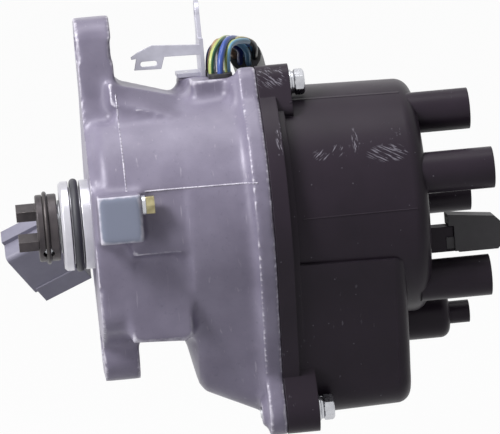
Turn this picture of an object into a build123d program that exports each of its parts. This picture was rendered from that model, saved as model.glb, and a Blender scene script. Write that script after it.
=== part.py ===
from build123d import *
import math
import os

# Ignition distributor with a built-in coil, for a four-cylinder engine. Millimetres. The origin is on
# the shaft axis at the mounting face, +X runs along the shaft towards the cap, and +Z is up.

# ---------------------------------------------------------------- fits and clearances
running_gap = 0.03        # radial, a shaft in its bush
seat_gap = 0.05           # radial, a loose piece in its seat
ball_gap = 0.2            # between a ball and its races
spark_gap = 0.8           # rotor tip to cap segment
air_gap = 0.7             # pole piece to reluctor tooth
brush_touch = 0.1         # brush tip to rotor blade

# ---------------------------------------------------------------- stations along the shaft
flange_thickness = 12.5
bowl_floor_x = 34.0
joint_x = 62.0            # joint face between housing and cap
rim_thickness = 6.2
cap_flange_thickness = 5.9
cap_step_thickness = 2.3
cap_ear_thickness = 11.5
chamber_length = 55.5     # joint face to the cap's end face
coil_box_length = 46.2    # joint face to the coil box's end face

# ---------------------------------------------------------------- spigot
spigot_r = 16.0
spigot_length = 10.7
spigot_chamfer = 0.8
o_ring_section = 3.0
o_ring_groove_depth = 2.3
o_ring_x = -5.2
face_relief_r = 19.0
face_relief_depth = 0.6

# ---------------------------------------------------------------- mounting flange
slot_width = 8.6
slot_arc = 16.0           # degrees swept by a slot's centre line
ear_slots = [(63.0, 92.0), (45.5, 272.0), (46.0, -4.0)]   # radius, angle from +Y towards +Z

# ---------------------------------------------------------------- rim, the outline housing and cap share
rim_r = 48.2
bay_half_width = 25.0
bay_bottom_z = -76.0
bay_corner_r = 16.0
rim_ears = [(-15.0, 45.3), (-25.0, -69.8), (47.6, -4.0)]  # cap screw places (Y, Z)
rim_ear_radii = [6.8, 8.2, 7.6]
rim_ear_tails = [(-23.6, 36.6, 3.0), (-21.0, -56.5, 5.0), (43.4, -17.0, 4.0)]   # where each ear dies out
screw_r = 2.5
seal_inset = 3.4
seal_width = 2.0
seal_thickness = 2.0

# ---------------------------------------------------------------- shaft
shaft_r = 6.0
shaft_nose_x = -18.6
spindle_r = 5.5
spindle_end_x = 84.0
pin_r = 2.0
pin_x = -15.9
pin_angle = 224.0         # cross pin, from +Y towards +Z
pin_half_length = 10.8
rotor_socket_depth = 14.0
flat_depth = 0.8          # flat on the spindle that times the rotor

# ---------------------------------------------------------------- coupling
coupling_r = 12.0
coupling_bore_r = 6.5
coupling_back_x = -11.7
coupling_front_x = -19.3
dog_length = 7.0
dog_width = 7.0
dog_thickness = 3.9
dog_angle = 22.0
dog_places = [(-8.2, -3.9), (7.0, 5.4)]
clip_r = 12.25
clip_wire_r = 0.8
clip_groove_width = 2.0
thrust_washer_r = 9.5
washer_gap = 0.1          # thrust washer to the nose
coupling_rock_gap = 0.3   # thrust washer to the coupling, which rocks on its pin

# ---------------------------------------------------------------- bearing
bearing_r = 16.0
bearing_width = 10.0
bearing_pitch_r = 11.0
ball_r = 2.4
ball_count = 8
ring_gap = 3.2            # radial space between the two rings
cage_width = 3.4
cage_thickness = 1.4
cage_web = 1.2            # behind the balls

# ---------------------------------------------------------------- reluctors and pickups
reluctor_r = 23.0
reluctor_root_r = 20.5
reluctor_thickness = 3.0
reluctor_hub_r = 8.5
crank_x = 41.0
tdc_x = 47.0
cylinder_x = 53.0
reluctor_pitch = 6.0
crank_teeth = 24
tdc_teeth = 4
base_thickness = 2.0
base_inner_r = 21.8
base_r = 38.5
pickup_cheek_r = 4.7
pickup_winding_r = 4.4
lug_thickness = 1.6
module_block = (24.0, 13.0)
module_height = 14.0
condenser_r = 5.0
condenser_height = 16.0

# ---------------------------------------------------------------- ignition coil
coil_top_z = -27.0
core_x = 62.0
core_depth = 14.0
core_half_width = 18.5
core_height = 32.0
core_centre_z = -43.6
core_limb = 8.8
coil_body_x = 46.5
coil_half_width = 16.0
coil_height = 27.0
coil_headroom = 3.2       # coil tower to the box's end wall
coil_tower_place = (9.5, -43.0)
coil_tower_r = 6.0
coil_tower_length = 9.0
coil_contact_r = 2.0
contact_depth = 5.0
link_headroom = 2.2       # link to the box's end wall
link_width = 4.0
link_thickness = 1.5
link_riser_z = (-34.6, -32.5)

# ---------------------------------------------------------------- rotor
rotor_foot_x = 64.0
rotor_foot_r = 10.5
rotor_headroom = 14.5     # rotor top to the cap's end wall
rotor_tip_r = 30.5
rotor_head_r = 24.0
rotor_head_thickness = 6.0
blade_thickness = 1.6
blade_width = 9.0
rotor_angle = 60.0
rotor_screw_x = 77.0

# ---------------------------------------------------------------- cap
chamber_r = 43.0
chamber_draft = 1.4
chamber_edge_r = 5.7
end_wall = 4.0
box_round_r = 44.2        # the coil box's sides run into a circle this large round the shaft
box_half_width = 23.4
box_bottom_z = -74.6
box_top_z = -16.3
box_corner_r = 15.4
box_edge_r = 5.0
box_draft = 1.6
tower_r = 7.3
tower_bore_r = 4.4
tower_bore_depth = 15.0
towers = [(-15.0, 30.5, 136.2), (-31.0, 10.6, 141.4), (-20.0, -28.8, 138.8), (29.0, -4.0, 139.5)]
segment_angles = [60.0, 150.0, 240.0, 330.0]
segment_width = 9.0
step_inset = 3.0
cap_wall = 4.0
screw_clearance = 0.4
vent_place = (-15.0, -14.95)      # breather on the cap's end: a stub with a keyed sleeve on it
vent_width = 9.0
vent_stub_height = 8.9
vent_stub_end_x = 127.2
vent_key_depth = 2.9
vent_key_z = -16.4
vent_key_height = 4.4
vent_sleeve_width = 11.0
vent_sleeve_end_x = 144.0
vent_sleeve_top_z = (-6.2, -8.0)
vent_sleeve_bottom_z = -19.8
drain_place = (10.0, -45.3)       # boss with a short pipe, low on the coil box's end
drain_boss_r = 9.0
drain_boss_end_x = 126.2
drain_pipe_place = (10.0, -45.6)
drain_pipe_r = 4.1
drain_pipe_end_x = 133.7
brush_r = 2.4
brush_length = 7.0
brush_boss_r = 5.0
brush_boss_length = 10.0
spring_r = 1.6
spring_wire_r = 0.25
spring_turns = 5
flat_washer_r = 4.6
flat_washer_thickness = 0.9
spring_washer_r = 4.0
spring_washer_thickness = 1.0
cap_screw_heads = [3.6, 3.8, 3.8]
hex_half_flats = 4.0
hex_turn = 0.0

# ---------------------------------------------------------------- bracket, ground screw
sheet = 1.5
bracket_plate_x = 43.9
ground_washer_r = 3.5
ground_washer_thickness = 1.3
ground_head_r = 3.4
ground_head_height = 3.1

# ---------------------------------------------------------------- harness
grommet_plug_depth = 7.0
wire_r = 1.1
wire_routes = [
    [(47.2, -6.0, 50.2), (47.2, -6.0, 58.0), (48.8, 2.5, 63.2), (55.5, 17.1, 62.4), (59.0, 22.2, 56.2),
     (60.2, 29.3, 54.2)],
    [(47.2, 2.0, 50.2), (47.2, 2.0, 55.9), (48.5, 9.1, 62.9), (54.1, 16.9, 59.3), (57.7, 21.6, 53.4),
     (58.9, 28.7, 51.4)],
    [(47.2, 9.5, 50.2), (47.2, 9.5, 56.7), (52.4, 11.1, 60.2), (59.8, 14.0, 56.9), (59.1, 20.6, 50.8),
     (60.3, 27.8, 48.8)],
    [(50.2, -9.5, 50.2), (50.2, -9.5, 55.6), (53.9, -1.2, 64.2), (60.8, 14.8, 60.6), (62.0, 21.9, 57.0),
     (63.2, 29.0, 55.0)],
    [(50.2, -2.0, 50.2), (50.2, -2.0, 56.7), (53.2, 6.1, 63.5), (58.1, 16.4, 59.8), (61.3, 21.1, 53.6),
     (62.5, 28.2, 51.6)],
    [(50.2, 6.0, 50.2), (50.2, 6.0, 57.3), (55.9, 8.6, 60.8), (61.9, 13.2, 56.4), (62.1, 20.0, 50.3),
     (63.3, 27.1, 48.3)],
    [(53.0, -6.0, 50.2), (53.0, -6.0, 56.8), (57.2, -0.3, 62.6), (65.8, 11.9, 60.5), (64.4, 21.0, 55.3),
     (65.6, 28.1, 53.3)],
    [(53.0, 2.0, 50.2), (53.0, 2.0, 56.6), (57.9, 5.0, 60.9), (64.9, 13.6, 56.9), (64.5, 20.2, 52.3),
     (65.7, 27.3, 50.3)],
]
sleeve_r = 5.8
sleeve_bore_r = 5.0
sleeve_bore_depth = 11.0
sleeve_route = [
    (61.5, 22.5, 53.2), (64.2, 38.5, 48.6), (66.0, 50.5, 32.0), (61.5, 57.0, 20.5), (52.0, 61.0, 12.0),
    (38.0, 63.5, 6.2), (19.99, 61.82, -0.65), (1.9, 67.5, -8.7),
]
connector_turn = 40.0
connector_size = (22.0, 16.6)
connector_length = 32.0
connector_neck = 6.0
connector_wall = 1.8
connector_mouth_depth = 15.0
pin_pitch = (4.2, 5.0)
pin_recess = 7.0          # the pins stay this far behind the mouth's edge
segment_length = 15.0
segment_depth = 3.6
strip_thickness = 1.2
strip_width = 4.0
contact_r = 3.9
contact_height = 4.0
stem_r = 2.4

parts_folder = "parts"
os.makedirs(parts_folder, exist_ok=True)


def keep(builder, name):
    """Label a finished piece and write it to its own STEP file."""
    builder.part.label = name
    export_step(builder.part, f"{parts_folder}/{name}.step")


def section(x):
    """Plane square to the shaft at station x, with local x along +Y and local y along +Z."""
    return Plane.YZ.offset(x)


def side(y):
    """Plane that faces the near side at Y = y, with local x along +X and local y along +Z."""
    return Plane.XZ.offset(-y)


def polar(radius, angle):
    """Point (Y, Z) at a radius and an angle from +Y towards +Z."""
    return (radius * math.cos(math.radians(angle)), radius * math.sin(math.radians(angle)))


def middle(limits):
    """Middle and size of a box given as (low x, high x, low y, high y)."""
    low_x, high_x, low_y, high_y = limits
    return ((low_x + high_x) / 2, (low_y + high_y) / 2), (high_x - low_x, high_y - low_y)


def radial_plane(x, radius, angle):
    """Plane whose normal points away from the shaft, with local x along the shaft."""
    y, z = polar(radius, angle)
    return Plane(origin=(x, y, z), x_dir=(1, 0, 0), z_dir=(0, *polar(1, angle)))


def hull_outline(circle_r, half_width, bottom_z, corner_r):
    """Egg-shaped outline: a circle round the shaft hulled with the coil bay's two lower corners."""
    with BuildSketch() as outline:
        Circle(circle_r)
        corner_z = bottom_z + corner_r
        with Locations((half_width - corner_r, corner_z), (corner_r - half_width, corner_z)):
            Circle(corner_r)
        make_hull()
    return outline.sketch


def rim_outline(inset=0.0):
    """The outline that the housing's rim and the cap's flange share, drawn in by inset."""
    return hull_outline(rim_r - inset, bay_half_width - inset, bay_bottom_z + inset, bay_corner_r - inset)


def ear_outline(place, radius, tail):
    """Screw ear of the joint, drawn out along the rim to a smaller circle (Y, Z, radius)."""
    with BuildSketch() as outline:
        with Locations(place):
            Circle(radius)
        with Locations(tail[:2]):
            Circle(tail[2])
        make_hull()
    return outline.sketch


def slot_outlines():
    """The adjusting slots of the three ears, each bent round the shaft."""
    with BuildSketch() as outline:
        for radius, angle in ear_slots:
            SlotArc(CenterArc((0, 0), radius, angle - slot_arc / 2, slot_arc), slot_width)
    return outline.sketch


# Stations that follow from the sizes above
cap_end_x = joint_x + chamber_length
box_end_x = joint_x + coil_box_length
rim_back_x = joint_x - rim_thickness
end_wall_x = cap_end_x - end_wall
thrust_washer_thickness = -spigot_length - coupling_back_x - washer_gap - coupling_rock_gap
ear_front_x = joint_x + cap_ear_thickness
bearing_x = bowl_floor_x - bearing_width
full_outline = rim_outline()
ear_outlines = [ear_outline(*sizes) for sizes in zip(rim_ears, rim_ear_radii, rim_ear_tails)]
seal_outer = rim_outline(seal_inset)
seal_inner = rim_outline(seal_inset + seal_width)
link_y = coil_tower_place[0]
link_foot_z = coil_tower_place[1] - coil_contact_r
link_mid_z = sum(link_riser_z) / 2
link_reach = math.hypot(link_y, link_mid_z)
link_strip = Location((link_y / 2, link_mid_z / 2, 0), (0, 0, math.degrees(math.atan2(link_mid_z, link_y))))
rotor_top_x = end_wall_x - rotor_headroom
brush_front_x = rotor_top_x + blade_thickness + brush_touch
link_x = box_end_x - end_wall - link_headroom
coil_tower_end_x = box_end_x - end_wall - coil_headroom
coil_front_length = coil_tower_end_x - coil_tower_length - core_x - core_depth

# ---------------------------------------------------------------- housing
body_sections = [
    (28.0, 38.0, 17.0, -41.5, 14.0),
    (30.2, 40.4, 18.5, -46.0, 14.0),
    (33.3, 43.4, 20.0, -60.2, 14.0),
    (35.4, 43.7, 20.6, -62.9, 14.0),
    (rim_back_x, 45.4, 22.8, -72.3, 14.4),
]                         # station, circle radius, half width, bottom, corner radius
bay_sections = [
    (40.5, 39.0, 16.2, -58.0, 9.4),
    (47.0, 40.2, 17.2, -64.0, 9.4),
    (joint_x, 40.8, 18.4, -69.6, 9.4),
]                         # the same five sizes of the room inside
bowl_r = 41.0
neck_r = 33.0
ear_corner_r = 4.0
ear_end_r = 10.0
ear_bend_r = 8.0
boss_radii = [5.4, 4.4, 5.4]
boss_lengths = [6.2, 8.6, 8.6]       # joint face back to the end of each screw boss
shoulder_front_x = 1.6
shoulder_r = 42.0         # upper near side of the neck
shoulder_end_r = 43.4     # where it meets the bowl
shoulder_top_z = 37.0
shoulder_edge_r = 5.5
parting_z = 14.4
parting_step = 0.5
gusset_sections = [
    (10.0, [(-20.0, 43.3), (-17.0, 50.8), (13.0, 50.8), (13.0, 43.0)]),
    (36.0, [(-23.5, 36.5), (-8.0, 43.2), (8.0, 43.2), (10.0, 36.5)]),
]                         # station, corners (Y, Z)
pad_size = (15.4, 16.7)
pad_corner = (1.6, -2.2)
pad_y = -50.0
pad_right_x = pad_corner[0] + pad_size[0]
o_ring_groove_width = 3.6
oil_seal_r = 12.5
oil_seal_x = 10.0
oil_seal_width = 7.0
bush_r = 8.5
bush_length = 17.0
grommet_seat = (39.0, 54.2, -15.0, 16.0)      # X and Y limits of the boss that carries the grommet
grommet_seat_z = 48.8
grommet_centre = (50.0, 0.0)
grommet_size = (6.6, 22.0)                    # the wire passage under it
grommet_flange = (8.4, 27.0)
grommet_flange_thickness = 1.4
bracket_seat = (35.4, 43.2, 3.0, 17.0)        # X and Y limits of the boss under the bracket's foot
bracket_seat_z = 48.8
bracket_screw_place = (39.0, 10.0)
ground_screw_place = (-45.4, 10.2)
ground_screw_depth = 9.0
coil_floor_x = 33.5
coil_screw_places = [(-24.0, -32.0), (24.0, -32.0)]
coil_post_r = 4.4
coil_screw_depth = 12.0
cap_screw_depth = 10.4
small_screw_r = 1.6
pan_head_r = 2.3
pan_head_height = 1.4
dust_cover_r = 41.8
dust_cover_thickness = 1.6
dust_cover_hole_r = 12.0
retainer_r = 21.0
retainer_thickness = 1.4
retainer_screw_ring_r = 18.6
retainer_screw_angles = [30.0, 150.0, 270.0]
base_screw_ring_r = 35.5
base_screw_angles = [2.0, 112.0, 168.0]
module_angle = 45.0
module_ring_r = 31.0
module_lug_reach = 15.0
condenser_angle = 135.0
condenser_lug_angle = 150.0
module_plane = radial_plane(0, module_ring_r, module_angle)
module_screw_places = [
    (module_plane.origin.Y + side_way * module_lug_reach * math.sin(math.radians(module_angle)),
     module_plane.origin.Z - side_way * module_lug_reach * math.cos(math.radians(module_angle)))
    for side_way in (-1, 1)
] + [polar(module_ring_r, condenser_lug_angle)]

# ================================================================ housing
with BuildPart() as shoulder:                           # upper near side, above the parting line
    for radius, x in ((shoulder_r, shoulder_front_x), (shoulder_end_r, bowl_floor_x)):
        with BuildSketch(section(x)):
            Circle(radius)
            with Locations((-34.0, (parting_z + shoulder_top_z) / 2)):
                Rectangle(52.0, shoulder_top_z - parting_z, mode=Mode.INTERSECT)
    loft(ruled=True)
    fillet(faces().sort_by(Axis.X)[0].edges().filter_by(GeomType.CIRCLE), radius=shoulder_edge_r)

with BuildPart() as housing:
    with BuildSketch(section(0)):                       # mounting flange with its three ears
        with BuildLine():
            Polyline(
                (-12.5, 73.5), (12.5, 73.5), (14.5, 46.0), (34.0, 30.0), (54.5, 9.0),
                (54.5, -15.0), (36.0, -26.0),
                (20.0, -40.0), (17.0, -55.6), (-19.0, -55.6), (-19.5, -41.5), (-35.5, -33.5), (-37.5, 16.0),
                (-17.0, 35.0), (-14.0, 46.0), close=True,
            )
        make_face()
        near_bend = vertices().filter_by_position(Axis.X, -36.0, -35.0)
        fillet(near_bend, radius=ear_bend_r)
        fillet(vertices().filter_by_position(Axis.Y, -42.0, -35.0), radius=ear_corner_r)
        fillet(vertices().filter_by_position(Axis.Y, -27.0, 50.0), radius=ear_corner_r)
        fillet(vertices().group_by(Axis.Y)[-1] + vertices().group_by(Axis.Y)[0], radius=ear_end_r)
    extrude(amount=flange_thickness)
    with BuildSketch(section(0)):                       # neck
        Circle(neck_r)
    extrude(amount=bowl_floor_x)
    for lower, upper in zip(body_sections, body_sections[1:]):   # bowl and coil bay
        with BuildSketch(section(lower[0])):
            add(hull_outline(*lower[1:]))
        with BuildSketch(section(upper[0])):
            add(hull_outline(*upper[1:]))
        loft(ruled=True)
    with BuildSketch(section(rim_back_x)):              # rim with its three ears
        add(full_outline)
        add(ear_outlines)
    extrude(amount=rim_thickness)
    for place, radius, length in zip(rim_ears, boss_radii, boss_lengths):      # screw bosses
        with BuildSketch(section(joint_x - length)):
            with Locations(place):
                Circle(radius)
        extrude(amount=length)
    add(shoulder.part)
    for radius, x in ((shoulder_r, flange_thickness), (shoulder_end_r, bowl_floor_x)):
        with BuildSketch(section(x)):                   # shoulder below the parting line
            Circle(radius - parting_step)
            with Locations((-34.0, (parting_z - 8.0) / 2)):
                Rectangle(52.0, parting_z + 8.0, mode=Mode.INTERSECT)
    loft(ruled=True)
    with BuildSketch(side(-36.0)):                      # lower shoulder behind the lower ear
        with BuildLine():
            Polyline((10.0, -13.4), (32.3, -5.5), (31.8, -38.0), (29.0, -40.0), (10.0, -39.0), close=True)
        make_face()
    extrude(amount=-23.0)
    for x, corners in gusset_sections:                  # gusset from the upper ear down to the bowl
        with BuildSketch(section(x)):
            with BuildLine():
                Polyline(*corners, close=True)
            make_face()
    loft(ruled=True)
    with BuildSketch(side(-9.0)):                       # web under the gusset
        with BuildLine():
            Polyline((10.0, 45.0), (34.0, 40.0), (34.0, 20.0), (10.0, 20.0), close=True)
        make_face()
    extrude(amount=-20.0)
    with BuildSketch(side(pad_y)):                      # flat rating pad
        with Locations((pad_corner[0] + pad_size[0] / 2, pad_corner[1] + pad_size[1] / 2)):
            Rectangle(*pad_size)
    extrude(amount=-22.0)
    for limits, top_z in ((grommet_seat, grommet_seat_z), (bracket_seat, bracket_seat_z)):
        centre, size = middle(limits)
        with BuildSketch(Plane.XY.offset(40.0)):        # bosses for the grommet and the bracket
            with Locations(centre):
                RectangleRounded(*size, 2.5)
        extrude(amount=top_z - 40.0)
    with BuildSketch(section(-spigot_length)):          # spigot
        Circle(spigot_r)
    extrude(amount=spigot_length)
    chamfer(faces().sort_by(Axis.X)[0].edges(), length=spigot_chamfer)
    # ---- openings and seats
    with BuildSketch(section(0)):                       # adjusting slots
        add(slot_outlines())
    extrude(amount=flange_thickness, mode=Mode.SUBTRACT)
    with BuildSketch(section(0)):                       # relief round the spigot
        Circle(face_relief_r)
        Circle(spigot_r, mode=Mode.SUBTRACT)
    extrude(amount=face_relief_depth, mode=Mode.SUBTRACT)
    with BuildSketch(section(o_ring_x - o_ring_groove_width / 2)):
        Circle(spigot_r)
        Circle(spigot_r - o_ring_groove_depth, mode=Mode.SUBTRACT)
    extrude(amount=o_ring_groove_width, mode=Mode.SUBTRACT)
    with BuildSketch(section(-spigot_length)):          # bore for the plain bush
        Circle(bush_r)
    extrude(amount=spigot_length + oil_seal_x, mode=Mode.SUBTRACT)
    with BuildSketch(section(oil_seal_x)):              # seat of the oil seal
        Circle(oil_seal_r)
    extrude(amount=bearing_x - 2.0 - oil_seal_x, mode=Mode.SUBTRACT)
    with BuildSketch(section(bearing_x - 2.0)):         # shoulder in front of the bearing
        Circle(bearing_r - 2.5)
    extrude(amount=2.0, mode=Mode.SUBTRACT)
    with BuildSketch(section(bearing_x)):               # seat of the ball bearing
        Circle(bearing_r)
    extrude(amount=bearing_width, mode=Mode.SUBTRACT)
    with BuildSketch(section(bowl_floor_x)):            # bowl
        Circle(bowl_r)
    extrude(amount=joint_x - bowl_floor_x, mode=Mode.SUBTRACT)
    for lower, upper in zip(bay_sections, bay_sections[1:]):     # coil bay
        with BuildSketch(section(lower[0])):
            add(hull_outline(*lower[1:]))
        with BuildSketch(section(upper[0])):
            add(hull_outline(*upper[1:]))
        loft(ruled=True, mode=Mode.SUBTRACT)
    with BuildSketch(section(joint_x - dust_cover_thickness)):   # step that carries the dust cover
        Circle(dust_cover_r + seat_gap)
        with Locations((0, -50.0 + coil_top_z)):
            Rectangle(100.0, 100.0, mode=Mode.SUBTRACT)
    extrude(amount=dust_cover_thickness, mode=Mode.SUBTRACT)
    with BuildSketch(section(joint_x - seal_thickness)):         # groove for the cap seal
        add(seal_outer)
        add(seal_inner, mode=Mode.SUBTRACT)
    extrude(amount=seal_thickness, mode=Mode.SUBTRACT)
    with BuildSketch(section(coil_floor_x)):            # posts that carry the ignition coil
        with Locations(*coil_screw_places):
            Circle(coil_post_r)
    extrude(amount=core_x - coil_floor_x)
    with BuildSketch(section(joint_x - cap_screw_depth)):        # tapped holes for the cap screws
        with Locations(*rim_ears):
            Circle(screw_r)
    extrude(amount=cap_screw_depth, mode=Mode.SUBTRACT)
    with BuildSketch(section(core_x - coil_screw_depth)):
        with Locations(*coil_screw_places):
            Circle(small_screw_r)
    extrude(amount=coil_screw_depth, mode=Mode.SUBTRACT)
    with BuildSketch(section(bowl_floor_x - 6.0)):      # tapped holes in the bowl floor
        with Locations(*[polar(retainer_screw_ring_r, a) for a in retainer_screw_angles]):
            Circle(small_screw_r)
        with Locations(*[polar(base_screw_ring_r, a) for a in base_screw_angles]):
            Circle(small_screw_r)
        with Locations(*module_screw_places):
            Circle(small_screw_r)
    extrude(amount=6.0, mode=Mode.SUBTRACT)
    with BuildSketch(Plane.XY.offset(bowl_r - 6.0)):    # passage for the wires
        with Locations(grommet_centre):
            RectangleRounded(grommet_size[0], grommet_size[1], 2.0)
    extrude(amount=grommet_seat_z - bowl_r + 6.0, mode=Mode.SUBTRACT)
    with BuildSketch(Plane.XY.offset(bracket_seat_z - 6.0)):
        with Locations(bracket_screw_place):
            Circle(small_screw_r)
    extrude(amount=6.0, mode=Mode.SUBTRACT)
    with BuildSketch(section(pad_corner[0] + pad_size[0] - ground_screw_depth)):
        with Locations(ground_screw_place):
            Circle(small_screw_r)
    extrude(amount=ground_screw_depth, mode=Mode.SUBTRACT)
keep(housing, "housing")

# ================================================================ nose: bush, oil seal, O-ring
with BuildPart() as nose_bush:
    with BuildSketch(section(-spigot_length + 1.0)):
        Circle(bush_r)
        Circle(shaft_r + running_gap, mode=Mode.SUBTRACT)
    extrude(amount=bush_length)
keep(nose_bush, "nose_bush")

with BuildPart() as nose_oil_seal:
    with BuildSketch(section(oil_seal_x)):
        Circle(oil_seal_r)
        Circle(shaft_r + 2.2, mode=Mode.SUBTRACT)
    extrude(amount=oil_seal_width)
    with BuildSketch(section(oil_seal_x)):              # lip
        Circle(shaft_r + 2.2)
        Circle(shaft_r + running_gap, mode=Mode.SUBTRACT)
    extrude(amount=1.8)
keep(nose_oil_seal, "nose_oil_seal")

with BuildPart() as nose_o_ring:
    with BuildSketch(Plane.XY):
        with Locations((o_ring_x, spigot_r - o_ring_groove_depth + o_ring_section / 2)):
            Circle(o_ring_section / 2)
    revolve(axis=Axis.X)
keep(nose_o_ring, "nose_o_ring")

# ================================================================ ball bearing
ball_ring = [polar(bearing_pitch_r, 360 * i / ball_count) for i in range(ball_count)]
ball_x = bearing_x + bearing_width / 2
inner_ring_r = bearing_pitch_r - ring_gap / 2
outer_ring_r = bearing_pitch_r + ring_gap / 2
ring_sizes = [("bearing_outer_ring", outer_ring_r, bearing_r), ("bearing_inner_ring", shaft_r, inner_ring_r)]
for name, inner_r, outer_r in ring_sizes:
    with BuildPart() as ring:
        with BuildSketch(section(bearing_x)):
            Circle(outer_r)
            Circle(inner_r, mode=Mode.SUBTRACT)
        extrude(amount=bearing_width)
        with BuildSketch(Plane.XY):                     # ball track
            with Locations((ball_x, bearing_pitch_r)):
                Circle(ball_r + ball_gap)
        revolve(axis=Axis.X, mode=Mode.SUBTRACT)
    keep(ring, name)

with BuildPart() as bearing_balls:
    with Locations(*[(ball_x, y, z) for y, z in ball_ring]):
        Sphere(ball_r)
keep(bearing_balls, "bearing_balls")

with BuildPart() as bearing_cage:                       # crown cage: a ring with a pocket for each ball
    with BuildSketch(section(ball_x - cage_width / 2)):
        Circle(bearing_pitch_r + cage_thickness / 2)
        Circle(bearing_pitch_r - cage_thickness / 2, mode=Mode.SUBTRACT)
    extrude(amount=cage_width / 2 + ball_r + cage_web)
    with Locations(*[(ball_x, y, z) for y, z in ball_ring]):
        Sphere(ball_r + seat_gap, mode=Mode.SUBTRACT)
keep(bearing_cage, "bearing_cage")

with BuildPart() as bearing_retainer:
    with BuildSketch(section(bowl_floor_x)):
        Circle(retainer_r)
        Circle(outer_ring_r + 0.6, mode=Mode.SUBTRACT)
        with Locations(*[polar(retainer_screw_ring_r, a) for a in retainer_screw_angles]):
            Circle(small_screw_r + 0.1, mode=Mode.SUBTRACT)
    extrude(amount=retainer_thickness)
keep(bearing_retainer, "bearing_retainer")

shank_r = small_screw_r - seat_gap
retainer_screw_places = [polar(retainer_screw_ring_r, a) for a in retainer_screw_angles]
base_screw_places = [polar(base_screw_ring_r, a) for a in base_screw_angles]
# ================================================================ shaft, pin and coupling
with BuildPart() as shaft:
    with BuildSketch(section(shaft_nose_x)):
        Circle(shaft_r)
    extrude(amount=bowl_floor_x - shaft_nose_x)
    with BuildSketch(section(bowl_floor_x)):
        Circle(spindle_r)
    extrude(amount=spindle_end_x - bowl_floor_x)
    chamfer(faces().sort_by(Axis.X)[0].edges() + faces().sort_by(Axis.X)[-1].edges(), length=0.6)
    with BuildSketch(radial_plane(pin_x, -shaft_r - 1, pin_angle)):      # cross hole for the pin
        Circle(pin_r)
    extrude(amount=2 * shaft_r + 2, mode=Mode.SUBTRACT)
    with BuildSketch(section(spindle_end_x - rotor_socket_depth)):       # flat that times the rotor
        with Locations((spindle_r - flat_depth + 2.0, 0)):
            Rectangle(4.0, 4 * spindle_r)
    extrude(amount=rotor_socket_depth, mode=Mode.SUBTRACT)
keep(shaft, "shaft")

with BuildPart() as coupling_pin:
    with BuildSketch(radial_plane(pin_x, -pin_half_length, pin_angle)):
        Circle(pin_r)
    extrude(amount=2 * pin_half_length)
keep(coupling_pin, "coupling_pin")

with BuildPart() as coupling:
    with BuildSketch(section(coupling_front_x)):
        Circle(coupling_r)
    extrude(amount=coupling_back_x - coupling_front_x)
    chamfer(edges().filter_by(GeomType.CIRCLE), length=0.4)
    with BuildSketch(section(coupling_front_x)):        # driving dogs, offset so they enter one way only
        Circle(coupling_r)
        with Locations(*[Location((y, z, 0), (0, 0, dog_angle)) for y, z in dog_places]):
            Rectangle(dog_width, dog_thickness, mode=Mode.INTERSECT)
    extrude(amount=-dog_length)
    with BuildSketch(section(coupling_front_x)):
        Circle(coupling_bore_r)
    extrude(amount=coupling_back_x - coupling_front_x, mode=Mode.SUBTRACT)
    with BuildSketch(section(pin_x - clip_groove_width / 2)):            # groove for the spring clip
        Circle(coupling_r + 1)
        Circle(clip_r - clip_wire_r, mode=Mode.SUBTRACT)
    extrude(amount=clip_groove_width, mode=Mode.SUBTRACT)
    with BuildSketch(radial_plane(pin_x, -coupling_r - 1, pin_angle)):
        Circle(pin_r + seat_gap)
    extrude(amount=2 * coupling_r + 2, mode=Mode.SUBTRACT)
keep(coupling, "coupling")

with BuildPart() as coupling_clip:
    with BuildSketch(Plane.XY.rotated((pin_angle + 150.0, 0, 0))):
        with Locations((pin_x, clip_r)):
            Circle(clip_wire_r)
    revolve(axis=Axis.X, revolution_arc=335)
keep(coupling_clip, "coupling_clip")

with BuildPart() as thrust_washer:
    with BuildSketch(section(-spigot_length - washer_gap - thrust_washer_thickness)):
        Circle(thrust_washer_r)
        Circle(shaft_r, mode=Mode.SUBTRACT)
    extrude(amount=thrust_washer_thickness)
keep(thrust_washer, "thrust_washer")

# ================================================================ reluctors


def reluctor(name, x, teeth, tooth_angle):
    """Toothed signal wheel on its hub: evenly spaced teeth round a solid disc."""
    with BuildPart() as wheel:
        with BuildSketch(section(x)):
            Circle(reluctor_root_r)
            with PolarLocations((reluctor_root_r + reluctor_r) / 2 - 0.5, teeth):
                Rectangle(reluctor_r - reluctor_root_r + 1.0, tooth_angle)
            Circle(spindle_r, mode=Mode.SUBTRACT)
        extrude(amount=reluctor_thickness)
        with BuildSketch(section(x)):
            Circle(reluctor_hub_r)
            Circle(spindle_r, mode=Mode.SUBTRACT)
        extrude(amount=reluctor_pitch)
    keep(wheel, name)


reluctor("crank_reluctor", crank_x, crank_teeth, 2.8)
reluctor("tdc_reluctor", tdc_x, tdc_teeth, 6.0)
reluctor("cylinder_reluctor", cylinder_x, 1, 6.0)

# ============================================================== pickups and what else sits on the bowl floor
base_face_x = bowl_floor_x + base_thickness
with BuildPart() as pickup_base:
    with BuildSketch(section(bowl_floor_x)):
        Circle(base_r)
        Circle(base_inner_r, mode=Mode.SUBTRACT)
        with Locations((0, coil_top_z - 50.0 + 6.0)):
            Rectangle(100.0, 100.0, mode=Mode.SUBTRACT)
        with Locations(*[polar(base_screw_ring_r, a) for a in base_screw_angles], *module_screw_places):
            Circle(small_screw_r + 0.1, mode=Mode.SUBTRACT)
    extrude(amount=base_thickness)
keep(pickup_base, "pickup_base")


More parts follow.
